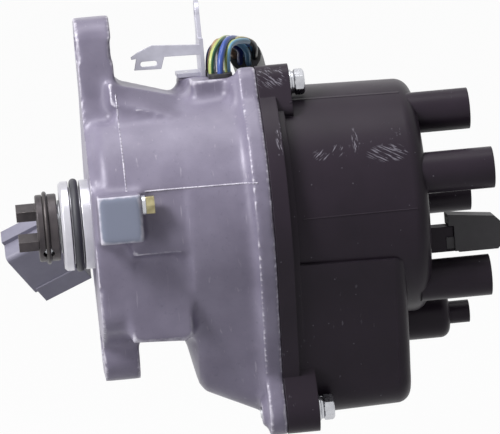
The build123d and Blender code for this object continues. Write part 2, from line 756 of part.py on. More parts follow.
def pickup(name, x, angle):
    """Inductive pickup: a pole piece through a wound bobbin, on a foot that stands on the base plate."""
    middle_x = x + reluctor_thickness / 2
    with BuildPart() as sensor:
        with BuildSketch(radial_plane(middle_x, reluctor_r + air_gap, angle)):       # pole piece
            Rectangle(reluctor_thickness, 3.0)
        extrude(amount=4.0)
        with BuildSketch(radial_plane(middle_x, reluctor_r + air_gap + 2.0, angle)):  # front cheek
            Circle(pickup_cheek_r)
        extrude(amount=1.2)
        with BuildSketch(radial_plane(middle_x, reluctor_r + air_gap + 2.0, angle)):  # winding
            Circle(pickup_winding_r)
        extrude(amount=9.0)
        with BuildSketch(radial_plane(middle_x, reluctor_r + air_gap + 9.8, angle)):  # rear cheek
            Circle(pickup_cheek_r)
        extrude(amount=1.2)
        with BuildSketch(radial_plane((base_face_x + middle_x) / 2, reluctor_r + air_gap + 9.8, angle)):
            Rectangle(middle_x - base_face_x, 7.0)      # foot
        extrude(amount=1.2)
        with BuildSketch(radial_plane((base_face_x + middle_x) / 2, reluctor_r + air_gap + 2.0, angle)):
            Rectangle(middle_x - base_face_x, 5.0)
        extrude(amount=1.2)
    keep(sensor, name)


pickup("crank_pickup", crank_x, 200.0)
pickup("tdc_pickup", tdc_x, 340.0)
pickup("cylinder_pickup", cylinder_x, 90.0)

with BuildPart() as igniter_module:
    with BuildSketch(section(base_face_x)):             # heat-sink plate with its two lugs
        with Locations(Location((*polar(module_ring_r, module_angle), 0), (0, 0, module_angle + 90))):
            SlotCenterToCenter(2 * module_lug_reach, 8.0)
        with Locations(*module_screw_places[:2]):
            Circle(small_screw_r + 0.1, mode=Mode.SUBTRACT)
    extrude(amount=lug_thickness)
    with BuildSketch(section(base_face_x)):             # potted block
        with Locations(Location((*polar(module_ring_r, module_angle), 0), (0, 0, module_angle + 90))):
            RectangleRounded(*module_block, 1.5)
    extrude(amount=module_height)
keep(igniter_module, "igniter_module")

with BuildPart() as noise_condenser:
    with BuildSketch(section(base_face_x)):             # lug
        with Locations(polar(module_ring_r, condenser_angle), polar(module_ring_r, condenser_lug_angle)):
            Circle(3.4)
        make_hull()
        with Locations(module_screw_places[2]):
            Circle(small_screw_r + 0.1, mode=Mode.SUBTRACT)
    extrude(amount=lug_thickness)
    with BuildSketch(section(base_face_x)):
        with Locations(polar(module_ring_r, condenser_angle)):
            Circle(condenser_r)
    extrude(amount=condenser_height)
    fillet(faces().sort_by(Axis.X)[-1].edges(), radius=1.0)
keep(noise_condenser, "noise_condenser")

with BuildPart() as bowl_screws:
    seats = [(bowl_floor_x + retainer_thickness, retainer_screw_places), (base_face_x, base_screw_places),
             (base_face_x + lug_thickness, module_screw_places)]
    for seat_x, places in seats:
        with BuildSketch(section(bowl_floor_x - 4.0)):
            with Locations(*places):
                Circle(shank_r)
        extrude(amount=seat_x - bowl_floor_x + 4.0)
        with BuildSketch(section(seat_x)):
            with Locations(*places):
                Circle(pan_head_r)
        extrude(amount=pan_head_height)
keep(bowl_screws, "bowl_screws")

# ================================================================ ignition coil
with BuildPart() as coil_core:
    with BuildSketch(section(core_x)):                  # closed frame of laminations with two lugs
        with Locations((0, core_centre_z)):
            Rectangle(2 * core_half_width, core_height)
            Rectangle(2 * core_half_width - 2 * core_limb, core_height - 2 * core_limb, mode=Mode.SUBTRACT)
        with Locations((0, coil_screw_places[0][1])):
            SlotOverall(2 * (coil_screw_places[1][0] + coil_post_r), 2 * coil_post_r)
        with Locations(*coil_screw_places):
            Circle(small_screw_r + 0.1, mode=Mode.SUBTRACT)
    extrude(amount=core_depth)
keep(coil_core, "coil_core")

with BuildPart() as coil_body:
    with BuildSketch(section(coil_body_x)):             # potted winding behind the frame
        with Locations((0, core_centre_z)):
            RectangleRounded(2 * coil_half_width, coil_height, 3.0)
    extrude(amount=core_x - coil_body_x)
    with BuildSketch(section(core_x)):                  # through the frame's window
        with Locations((0, core_centre_z)):
            Rectangle(2 * core_half_width - 2 * core_limb, core_height - 2 * core_limb)
    extrude(amount=core_depth)
    with BuildSketch(section(core_x + core_depth)):     # and in front of it
        with Locations((0, core_centre_z)):
            RectangleRounded(2 * coil_half_width, coil_height, 3.0)
    extrude(amount=coil_front_length)
    with BuildSketch(section(core_x + core_depth + coil_front_length)):  # high-tension tower
        with Locations(coil_tower_place):
            Circle(coil_tower_r)
    extrude(amount=coil_tower_length)
    with BuildSketch(section(coil_tower_end_x - contact_depth)):
        with Locations(coil_tower_place):
            Circle(coil_contact_r + seat_gap)
    extrude(amount=contact_depth, mode=Mode.SUBTRACT)
keep(coil_body, "coil_body")

with BuildPart() as coil_contact:
    with BuildSketch(section(coil_tower_end_x - contact_depth)):
        with Locations(coil_tower_place):
            Circle(coil_contact_r)
    extrude(amount=contact_depth + link_x - coil_tower_end_x)
keep(coil_contact, "coil_contact")

with BuildPart() as coil_screws:
    with BuildSketch(section(core_x - coil_screw_depth + 1.0)):
        with Locations(*coil_screw_places):
            Circle(shank_r)
    extrude(amount=core_depth + coil_screw_depth - 1.0)
    with BuildSketch(section(core_x + core_depth)):
        with Locations(*coil_screw_places):
            Circle(coil_post_r - 1.2)
    extrude(amount=pan_head_height + 0.6)
keep(coil_screws, "coil_screws")

# ================================================================ dust cover, cap seal, rotor
with BuildPart() as dust_cover:
    with BuildSketch(section(joint_x - dust_cover_thickness)):
        Circle(dust_cover_r)
        Circle(dust_cover_hole_r, mode=Mode.SUBTRACT)
        with Locations((0, -50.0 + coil_top_z)):
            Rectangle(100.0, 100.0, mode=Mode.SUBTRACT)
    extrude(amount=dust_cover_thickness)
keep(dust_cover, "dust_cover")

with BuildPart() as cap_seal:
    with BuildSketch(section(joint_x - seal_thickness)):
        add(seal_outer)
        add(seal_inner, mode=Mode.SUBTRACT)
    extrude(amount=seal_thickness)
keep(cap_seal, "cap_seal")

with BuildPart() as rotor:
    with BuildSketch(Plane.XY):                         # turned foot, waist and head
        with BuildLine():
            Polyline(
                (rotor_foot_x, 0), (rotor_foot_x, rotor_foot_r), (spindle_end_x + 2.0, rotor_foot_r),
                (rotor_top_x - rotor_head_thickness, rotor_head_r), (rotor_top_x, rotor_head_r),
                (rotor_top_x, 0),
                close=True,
            )
        make_face()
    revolve(axis=Axis.X)
    with BuildSketch(section(rotor_top_x - rotor_head_thickness)):       # arm under the blade
        with Locations(Location((*polar(rotor_tip_r / 2 - 0.6, rotor_angle), 0), (0, 0, rotor_angle))):
            Rectangle(rotor_tip_r - 1.2, blade_width + 3.0)
    extrude(amount=rotor_head_thickness)
    with BuildSketch(section(rotor_foot_x)):            # socket for the spindle, with its flat
        Circle(spindle_r + seat_gap)
        with Locations((spindle_r - flat_depth + seat_gap + 2.0, 0)):
            Rectangle(4.0, 4 * spindle_r, mode=Mode.SUBTRACT)
    extrude(amount=spindle_end_x - rotor_foot_x, mode=Mode.SUBTRACT)
    with BuildSketch(section(rotor_foot_x)):            # clear of the round part of the spindle
        Circle(spindle_r + seat_gap)
    extrude(amount=spindle_end_x - rotor_socket_depth - rotor_foot_x, mode=Mode.SUBTRACT)
    flat_plane = Plane(origin=(rotor_screw_x, spindle_r - flat_depth, 0), x_dir=(1, 0, 0), z_dir=(0, 1, 0))
    with BuildSketch(flat_plane):
        Circle(small_screw_r)
    extrude(amount=rotor_foot_r, mode=Mode.SUBTRACT)
keep(rotor, "rotor")

with BuildPart() as rotor_blade:
    with BuildSketch(section(rotor_top_x)):
        Circle(rotor_tip_r)
        with Locations(Location((*polar(rotor_tip_r / 2 - 2, rotor_angle), 0), (0, 0, rotor_angle))):
            Rectangle(rotor_tip_r + 4, blade_width, mode=Mode.INTERSECT)
    extrude(amount=blade_thickness)
keep(rotor_blade, "rotor_blade")

with BuildPart() as rotor_screw:
    flat_plane = Plane(origin=(rotor_screw_x, spindle_r - flat_depth, 0), x_dir=(1, 0, 0), z_dir=(0, 1, 0))
    with BuildSketch(flat_plane):
        Circle(shank_r)
    extrude(amount=rotor_foot_r - spindle_r + flat_depth)
    with BuildSketch(Plane(origin=(rotor_screw_x, rotor_foot_r, 0), x_dir=(1, 0, 0), z_dir=(0, 1, 0))):
        Circle(pan_head_r)
    extrude(amount=pan_head_height)
keep(rotor_screw, "rotor_screw")

# ================================================================ cap
with BuildPart() as coil_box:
    with BuildSketch(section(joint_x)):
        add(hull_outline(box_round_r, box_half_width, box_bottom_z, box_corner_r))
        with Locations((0, box_top_z)):
            Rectangle(4 * rim_r, 2 * rim_r, align=(Align.CENTER, Align.MIN), mode=Mode.SUBTRACT)
    extrude(amount=coil_box_length, taper=box_draft)
    fillet(faces().sort_by(Axis.X)[-1].edges(), radius=box_edge_r)

with BuildPart() as chamber:
    with BuildSketch(section(joint_x)):
        Circle(chamber_r)
    extrude(amount=chamber_length, taper=chamber_draft)
    fillet(faces().sort_by(Axis.X)[-1].edges(), radius=chamber_edge_r)

with BuildPart() as drain_boss:
    with BuildSketch(section(box_end_x - end_wall)):
        with Locations(drain_place):
            Circle(drain_boss_r)
    extrude(amount=drain_boss_end_x - box_end_x + end_wall)
    fillet(faces().sort_by(Axis.X)[-1].edges(), radius=3.5)

with BuildPart() as cap:
    with BuildSketch(section(joint_x)):                 # flange, and the step inside its edge
        add(full_outline)
    extrude(amount=cap_flange_thickness)
    with BuildSketch(section(joint_x)):
        add(rim_outline(step_inset))
    extrude(amount=cap_flange_thickness + cap_step_thickness)
    with BuildSketch(section(joint_x)):                 # screw ears
        add(ear_outlines)
    extrude(amount=cap_ear_thickness)
    add(coil_box.part)
    add(chamber.part)
    for y, z, tip_x in towers:                          # high-tension towers
        with BuildSketch(section(end_wall_x)):
            with Locations((y, z)):
                Circle(tower_r)
        extrude(amount=tip_x - end_wall_x)
    with BuildSketch(section(end_wall_x)):              # stub of the breather
        with Locations(vent_place):
            Rectangle(vent_width, vent_stub_height)
    extrude(amount=vent_stub_end_x - end_wall_x)
    add(drain_boss.part)
    with BuildSketch(section(box_end_x)):
        with Locations(drain_pipe_place):
            Circle(drain_pipe_r)
    extrude(amount=drain_pipe_end_x - box_end_x)
    # ---- cavities
    with BuildSketch(section(joint_x)):                 # distributor chamber
        Circle(chamber_r - cap_wall)
    extrude(amount=chamber_length - end_wall, taper=chamber_draft, mode=Mode.SUBTRACT)
    with BuildSketch(section(joint_x)):                 # coil box
        add(hull_outline(chamber_r - cap_wall, box_half_width - cap_wall, box_bottom_z + cap_wall,
                         box_corner_r - cap_wall))
    extrude(amount=coil_box_length - end_wall, taper=box_draft, mode=Mode.SUBTRACT)
    with BuildSketch(section(end_wall_x - brush_boss_length)):   # boss that holds the carbon brush
        Circle(brush_boss_r)
    extrude(amount=brush_boss_length)
    with BuildSketch(section(end_wall_x - brush_boss_length)):
        Circle(brush_r + running_gap)
    extrude(amount=brush_boss_length, mode=Mode.SUBTRACT)
    with BuildSketch(section(joint_x)):                 # screw holes
        with Locations(*rim_ears):
            Circle(screw_r + screw_clearance)
    extrude(amount=cap_ear_thickness, mode=Mode.SUBTRACT)
    for (y, z, tip_x), angle in zip(towers, segment_angles):
        with BuildSketch(section(tip_x - tower_bore_depth)):     # socket, contact and stem
            with Locations((y, z)):
                Circle(tower_bore_r)
        extrude(amount=tower_bore_depth, mode=Mode.SUBTRACT)
        with BuildSketch(section(end_wall_x)):
            with Locations((y, z)):
                Circle(stem_r + seat_gap)
        extrude(amount=tip_x - tower_bore_depth - end_wall_x, mode=Mode.SUBTRACT)
    with BuildSketch(side(vent_place[0] - vent_width)):          # keyed end of the breather's stub
        with Locations((vent_stub_end_x - vent_key_depth / 2, vent_key_z)):
            Rectangle(vent_key_depth, vent_key_height)
    extrude(amount=-2 * vent_width, mode=Mode.SUBTRACT)
    with BuildSketch(section(end_wall_x - link_thickness)):      # groove in the boss for the coil's link
        with Locations(link_strip):
            Rectangle(link_reach + 2 * seat_gap, link_width + 2 * seat_gap)
    extrude(amount=link_thickness, mode=Mode.SUBTRACT)
keep(cap, "cap")

with BuildPart() as cap_vent:
    with BuildSketch(side(vent_place[0] - vent_sleeve_width / 2)):
        with BuildLine():
            Polyline(
                (vent_stub_end_x + seat_gap, vent_place[1] - vent_stub_height / 2),
                (vent_stub_end_x + seat_gap, vent_place[1] + vent_stub_height / 2 + 0.2),
                (vent_stub_end_x - 1.8, vent_place[1] + vent_stub_height / 2 + 0.2),
                (vent_stub_end_x - 1.8, vent_sleeve_top_z[0]),
                (vent_sleeve_end_x - 2.0, vent_sleeve_top_z[1]),
                (vent_sleeve_end_x, vent_sleeve_top_z[1] - 2.0),
                (vent_sleeve_end_x, vent_sleeve_bottom_z + 1.5),
                (vent_sleeve_end_x - 1.5, vent_sleeve_bottom_z),
                (vent_stub_end_x + 1.4, vent_sleeve_bottom_z),
                (vent_stub_end_x + 1.4, vent_place[1] - vent_stub_height / 2), close=True,
            )
        make_face()
    extrude(amount=-vent_sleeve_width)
    with BuildSketch(side(vent_place[0] - vent_width / 2)):      # key that enters the stub
        with Locations((vent_stub_end_x - vent_key_depth / 2 + seat_gap, vent_key_z)):
            Rectangle(vent_key_depth, vent_key_height - 2 * seat_gap)
    extrude(amount=-vent_width)
    with BuildSketch(section(vent_sleeve_end_x - 9.0)):          # breather hole
        with Locations((vent_place[0], vent_place[1] + 1.0)):
            Circle(2.5)
    extrude(amount=9.0, mode=Mode.SUBTRACT)
keep(cap_vent, "cap_vent")

# ================================================================ what the cap carries
for number, ((y, z, tip_x), angle) in enumerate(zip(towers, segment_angles), start=1):
    segment_y, segment_z = polar(rotor_tip_r + spark_gap + segment_depth / 2, angle)
    with BuildPart() as terminal:
        with BuildSketch(section(end_wall_x - segment_length)):  # segment that the rotor passes
            Circle(rotor_tip_r + spark_gap + segment_depth)
            Circle(rotor_tip_r + spark_gap, mode=Mode.SUBTRACT)
            with Locations(Location((segment_y, segment_z, 0), (0, 0, angle))):
                Rectangle(3 * segment_depth, segment_width, mode=Mode.INTERSECT)
        extrude(amount=segment_length)
        with BuildSketch(section(end_wall_x - strip_thickness)):         # strip to the tower
            with Locations((y, z), (segment_y, segment_z)):
                Circle(strip_width / 2 + 0.6)
            make_hull()
        extrude(amount=strip_thickness)
        with BuildSketch(section(end_wall_x)):
            with Locations((y, z)):
                Circle(stem_r)
        extrude(amount=tip_x - tower_bore_depth - end_wall_x)
        with BuildSketch(section(tip_x - tower_bore_depth)):
            with Locations((y, z)):
                Circle(contact_r)
        extrude(amount=contact_height)
    keep(terminal, f"cap_terminal_{number}")

with BuildPart() as hv_link:
    with BuildSketch(section(link_x)):                  # foot on the coil's contact
        with Locations((link_y, (link_foot_z + link_riser_z[1]) / 2)):
            Rectangle(link_width, link_riser_z[1] - link_foot_z)
    extrude(amount=box_end_x - end_wall - link_x - 0.1)
    with BuildSketch(section(link_x)):                  # riser along the chamber's wall
        with Locations((link_y, sum(link_riser_z) / 2)):
            Rectangle(link_width, link_riser_z[1] - link_riser_z[0])
    extrude(amount=end_wall_x - link_x)
    with BuildSketch(section(end_wall_x - link_thickness)):      # strip to the brush
        with Locations(link_strip):
            Rectangle(link_reach, link_width)
        Circle(brush_r)
    extrude(amount=link_thickness)
keep(hv_link, "hv_link")

with BuildPart() as carbon_brush:
    with BuildSketch(section(brush_front_x)):
        Circle(brush_r)
    extrude(amount=brush_length)
    chamfer(faces().sort_by(Axis.X)[0].edges(), length=0.5)
keep(carbon_brush, "carbon_brush")

spring_start_x = brush_front_x + brush_length + spring_wire_r
spring_length = end_wall_x - link_thickness - spring_wire_r - spring_start_x
with BuildPart() as brush_spring:
    with BuildLine() as spring_path:
        Helix(pitch=spring_length / spring_turns, height=spring_length, radius=spring_r,
              center=(spring_start_x, 0, 0), direction=(1, 0, 0))
    with BuildSketch(Plane(origin=spring_path.line @ 0, z_dir=spring_path.line % 0)):
        Circle(spring_wire_r)
    sweep(path=spring_path.line)
keep(brush_spring, "brush_spring")

with BuildPart() as cap_screw_washers:
    with BuildSketch(section(ear_front_x)):
        with Locations(*rim_ears):
            Circle(flat_washer_r)
            Circle(screw_r, mode=Mode.SUBTRACT)
    extrude(amount=flat_washer_thickness)
    with BuildSketch(section(ear_front_x + flat_washer_thickness)):
        with Locations(*rim_ears):
            Circle(spring_washer_r)
            Circle(screw_r, mode=Mode.SUBTRACT)
    extrude(amount=spring_washer_thickness)
keep(cap_screw_washers, "cap_screw_washers")

head_x = ear_front_x + flat_washer_thickness + spring_washer_thickness
with BuildPart() as cap_screws:
    with BuildSketch(section(joint_x - cap_screw_depth + 1.5)):
        with Locations(*rim_ears):
            Circle(screw_r - seat_gap)
    extrude(amount=head_x - joint_x + cap_screw_depth - 1.5)
    for place, height in zip(rim_ears, cap_screw_heads):
        with BuildSketch(section(head_x)):
            with Locations(place):
                RegularPolygon(hex_half_flats, 6, major_radius=False, rotation=hex_turn)
        extrude(amount=height)
        with BuildSketch(section(head_x + height - 1.2)):        # dished top
            with Locations(place):
                Circle(hex_half_flats - 1.2)
        extrude(amount=1.2, mode=Mode.SUBTRACT)
keep(cap_screws, "cap_screws")

# ================================================================ ground screw and bracket
with BuildPart() as ground_washer:
    with BuildSketch(section(pad_right_x)):
        with Locations(ground_screw_place):
            Circle(ground_washer_r)
            Circle(small_screw_r, mode=Mode.SUBTRACT)
    extrude(amount=ground_washer_thickness)
keep(ground_washer, "ground_washer")

with BuildPart() as ground_screw:
    with BuildSketch(section(pad_right_x - ground_screw_depth + 1.5)):
        with Locations(ground_screw_place):
            Circle(shank_r)
    extrude(amount=ground_screw_depth - 1.5 + ground_washer_thickness)
    with BuildSketch(section(pad_right_x + ground_washer_thickness)):
        with Locations(ground_screw_place):
            RegularPolygon(ground_head_r, 6)
    extrude(amount=ground_head_height)
    with BuildSketch(section(pad_right_x + ground_washer_thickness + ground_head_height - 1.0)):
        with Locations(ground_screw_place):
            Circle(ground_head_r - 1.4)
    extrude(amount=1.0, mode=Mode.SUBTRACT)
keep(ground_screw, "ground_screw")

with BuildPart() as bracket:
    with BuildSketch(Plane.XY.offset(bracket_seat_z)):  # foot on the boss
        with Locations(((bracket_seat[0] + bracket_plate_x) / 2, bracket_screw_place[1])):
            Rectangle(bracket_plate_x - bracket_seat[0], bracket_seat[3] - bracket_seat[2])
        with Locations(bracket_screw_place):
            Circle(small_screw_r + 0.1, mode=Mode.SUBTRACT)
    extrude(amount=sheet)
    with BuildSketch(section(bracket_plate_x)):         # upright plate
        with BuildLine():
            Polyline(
                (-sheet, bracket_seat_z), (22.0, bracket_seat_z), (22.0, 58.0), (16.0, 63.0), (16.0, 70.5)
            )
            ThreePointArc((16.0, 70.5), (11.0, 75.5), (6.0, 70.5))
            Polyline((6.0, 70.5), (4.0, 62.5), (-sheet, 62.5), (-sheet, bracket_seat_z))
        make_face()
        with Locations((11.0, 70.0)):
            Circle(2.6, mode=Mode.SUBTRACT)
    extrude(amount=sheet)
    with BuildSketch(side(-sheet)):                     # arm folded off the upright's near edge
        with BuildLine():
            Polyline(
                (bracket_plate_x, 60.4), (27.0, 61.6), (22.0, 59.6), (19.3, 58.0), (19.5, 57.2),
                (21.2, 57.3),
                (20.2, 53.3), (29.8, 53.0), (31.2, 57.2), (bracket_plate_x, 56.9), close=True,
            )
        make_face()
        with Locations((25.5, 55.2)):
            SlotOverall(6.0, 1.9, mode=Mode.SUBTRACT)
    extrude(amount=-sheet)
keep(bracket, "bracket")

with BuildPart() as bracket_screw:
    with BuildSketch(Plane.XY.offset(bracket_seat_z - 5.0)):
        with Locations(bracket_screw_place):
            Circle(shank_r)
    extrude(amount=5.0 + sheet)
keep(bracket_screw, "bracket_screw")

# ================================================================ harness
with BuildPart() as harness_grommet:
    with BuildSketch(Plane.XY.offset(grommet_seat_z)):
        with Locations(grommet_centre):
            RectangleRounded(*grommet_flange, 2.5)
    extrude(amount=grommet_flange_thickness)
    with BuildSketch(Plane.XY.offset(grommet_seat_z - grommet_plug_depth)):
        with Locations(grommet_centre):
            RectangleRounded(grommet_size[0] - 2 * seat_gap, grommet_size[1] - 2 * seat_gap, 1.9)
    extrude(amount=grommet_plug_depth)
keep(harness_grommet, "harness_grommet")


def tube(name, route, radius):
    """Plain tube of a cord: straight runs joined by tangent arcs."""
    corners = [Vector(*point) for point in route]
    radii = []
    for before, corner, after in zip(corners, corners[1:], corners[2:]):
        run_in = corner - before
        run_out = after - corner
        half_turn = math.radians(run_in.get_angle(run_out)) / 2
        radii.append(0.45 * min(run_in.length, run_out.length) / math.tan(half_turn))
    print(name, "arc radii", [round(r, 1) for r in radii])
    with BuildPart() as cord:
        with BuildLine() as path:
            FilletPolyline(*corners, radius=radii)
        with BuildSketch(Plane(origin=corners[0], z_dir=corners[1] - corners[0])):
            Circle(radius)
        sweep(path=path.line)
    return cord.part


for number, route in enumerate(wire_routes, start=1):
    with BuildPart() as wire:
        add(tube(f"wire_{number}", route, wire_r))
    keep(wire, f"wire_{number}")

mouth = Vector(*sleeve_route[0])
with BuildPart() as harness_sleeve:
    add(tube("harness_sleeve", sleeve_route, sleeve_r))
    with BuildSketch(Plane(origin=mouth, z_dir=Vector(*sleeve_route[1]) - mouth)):
        Circle(sleeve_bore_r)
    extrude(amount=sleeve_bore_depth, mode=Mode.SUBTRACT)
keep(harness_sleeve, "harness_sleeve")

# ================================================================ connector
cable_end = Vector(*sleeve_route[-1])
connector_rear = Plane(origin=cable_end, x_dir=(0, 0, 1), z_dir=Vector(*sleeve_route[-2]) - cable_end)
turned = Location((0, 0, 0), (0, 0, connector_turn))


def connector_section(distance):
    """Plane across the connector, a distance in front of the cable's end."""
    return connector_rear.offset(-distance)


shell_width, shell_height = connector_size
with BuildPart() as connector_shell:
    with BuildSketch(connector_section(connector_length)):       # shroud
        with Locations(turned):
            RectangleRounded(shell_width, shell_height, 2.0)
    extrude(amount=connector_length - connector_neck)
    with BuildSketch(connector_section(connector_length - 1.3)):         # rail along one edge
        with Locations(turned * Location((-shell_width / 2 - 0.75, 5.95, 0))):
            Rectangle(7.5, 5.9)
    extrude(amount=connector_length - connector_neck - 6.0)
    with BuildSketch(connector_section(connector_length)):       # latch arm
        with Locations(turned * Location((shell_width / 2 + 0.6, -2.55, 0))):
            Rectangle(2.4, 5.9)
    extrude(amount=connector_length - connector_neck - 8.0)
    with BuildSketch(connector_section(connector_neck)):         # collar round the cable
        Circle(sleeve_r + 1.6)
    extrude(amount=connector_neck)
    with BuildSketch(connector_section(connector_length)):       # mouth
        with Locations(turned):
            RectangleRounded(shell_width - 2 * connector_wall, shell_height - 2 * connector_wall, 1.0)
    extrude(amount=connector_mouth_depth, mode=Mode.SUBTRACT)
keep(connector_shell, "connector_shell")

with BuildPart() as connector_pins:
    with BuildSketch(connector_section(connector_length - pin_recess)):
        with Locations(turned):
            with GridLocations(*pin_pitch, 4, 2):
                Rectangle(2.2, 0.8)
    extrude(amount=connector_mouth_depth - pin_recess)
keep(connector_pins, "connector_pins")
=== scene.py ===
"""Ignition distributor with a cast body, a moulded cap and a short wiring tail.

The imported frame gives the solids. This script dresses them, makes the wires, the sleeve
and the fine parts that the solids leave plain, and sets the camera, the lamps and the floor.
All lengths are in metres unless a name ends in _mm.
"""

from __future__ import annotations

import logging
import math
from dataclasses import dataclass, field
from enum import Enum
from typing import Any, Sequence

import bmesh
import bpy
import numpy as np
from mathutils import Matrix, Vector

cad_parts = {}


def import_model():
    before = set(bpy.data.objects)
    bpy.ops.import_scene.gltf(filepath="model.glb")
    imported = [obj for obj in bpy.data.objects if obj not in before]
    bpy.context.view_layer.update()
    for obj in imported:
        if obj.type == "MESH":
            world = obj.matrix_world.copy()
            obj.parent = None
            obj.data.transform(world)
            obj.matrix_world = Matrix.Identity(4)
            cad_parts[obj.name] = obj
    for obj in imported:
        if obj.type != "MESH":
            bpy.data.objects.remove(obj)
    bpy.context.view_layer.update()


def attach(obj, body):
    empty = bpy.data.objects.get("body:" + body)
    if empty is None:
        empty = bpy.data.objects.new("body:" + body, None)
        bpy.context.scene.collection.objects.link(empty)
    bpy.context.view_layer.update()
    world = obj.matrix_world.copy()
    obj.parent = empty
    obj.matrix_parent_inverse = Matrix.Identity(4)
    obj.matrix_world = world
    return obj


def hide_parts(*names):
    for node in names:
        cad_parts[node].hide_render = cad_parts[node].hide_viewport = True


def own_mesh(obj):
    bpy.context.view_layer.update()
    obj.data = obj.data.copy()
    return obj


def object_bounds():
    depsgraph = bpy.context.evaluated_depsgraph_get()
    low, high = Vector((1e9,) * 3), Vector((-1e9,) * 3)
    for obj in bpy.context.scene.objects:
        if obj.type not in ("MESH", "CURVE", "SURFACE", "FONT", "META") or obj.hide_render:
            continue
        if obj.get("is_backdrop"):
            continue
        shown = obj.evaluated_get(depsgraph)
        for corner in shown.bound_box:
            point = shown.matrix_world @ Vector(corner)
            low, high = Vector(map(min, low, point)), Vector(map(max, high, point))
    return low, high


LOG = logging.getLogger("distributor")
MM = 0.001
HOUSING = "housing"       # the solid, and the rigid body that every added piece rides on

Tree = bpy.types.NodeTree
Socket = bpy.types.NodeSocket
Point = tuple[float, float, float]
Pair = tuple[float, float]


class Sum(str, Enum):
    """The sums that a pattern does on two values."""

    TIMES = "MULTIPLY"
    BELOW = "LESS_THAN"
    LARGER = "MAXIMUM"


# ---------------------------------------------------------------- nodes and colours


def linear(colour: str) -> tuple[float, float, float, float]:
    """Turn an sRGB hex colour into a linear one.

    Args:
        colour: Six hex digits after a hash.

    Returns:
        Red, green, blue and an alpha of 1.
    """
    parts = [int(colour[i:i + 2], 16) / 255 for i in (1, 3, 5)]
    red, green, blue = (c / 12.92 if c <= 0.04045 else ((c + 0.055) / 1.055) ** 2.4 for c in parts)
    return red, green, blue, 1.0


def add_node(tree: Tree, kind: str, inputs: dict[Any, Any] | None = None, **settings: Any) -> bpy.types.Node:
    """Add one shader node with its settings and links.

    Args:
        tree: The material's or world's node tree.
        kind: The node's type name after ShaderNode.
        inputs: Socket name or number to a value, or to the socket that feeds it.
        settings: Attributes of the node itself.

    Returns:
        The node.
    """
    made = tree.nodes.new(f"ShaderNode{kind}")
    for key, value in settings.items():
        setattr(made, key, value)
    for key, value in (inputs or {}).items():
        if isinstance(value, Socket):
            tree.links.new(value, made.inputs[key])
        else:
            made.inputs[key].default_value = value
    return made


def computed(tree: Tree, operation: Sum, first: Any, second: Any) -> Socket:
    """Give the result of one sum on two values."""
    return add_node(tree, "Math", {0: first, 1: second}, operation=operation.value).outputs[0]


def ranged(tree: Tree, value: Any, low: float, high: float, top: float = 1.0, bottom: float = 0.0) -> Socket:
    """Stretch a value so that low gives the bottom and high the top, and hold it there beyond them."""
    return add_node(tree, "MapRange", {"Value": value, "From Min": low, "From Max": high, "To Min": bottom,
                                       "To Max": top}).outputs[0]


def mixed(tree: Tree, share: Any, first: Any, second: str) -> Socket:
    """Give the first colour, with the second, as hex digits, over it where share is 1."""
    return add_node(tree, "Mix", {"Factor": share, "A": first, "B": linear(second)},
                    data_type="RGBA").outputs["Result"]


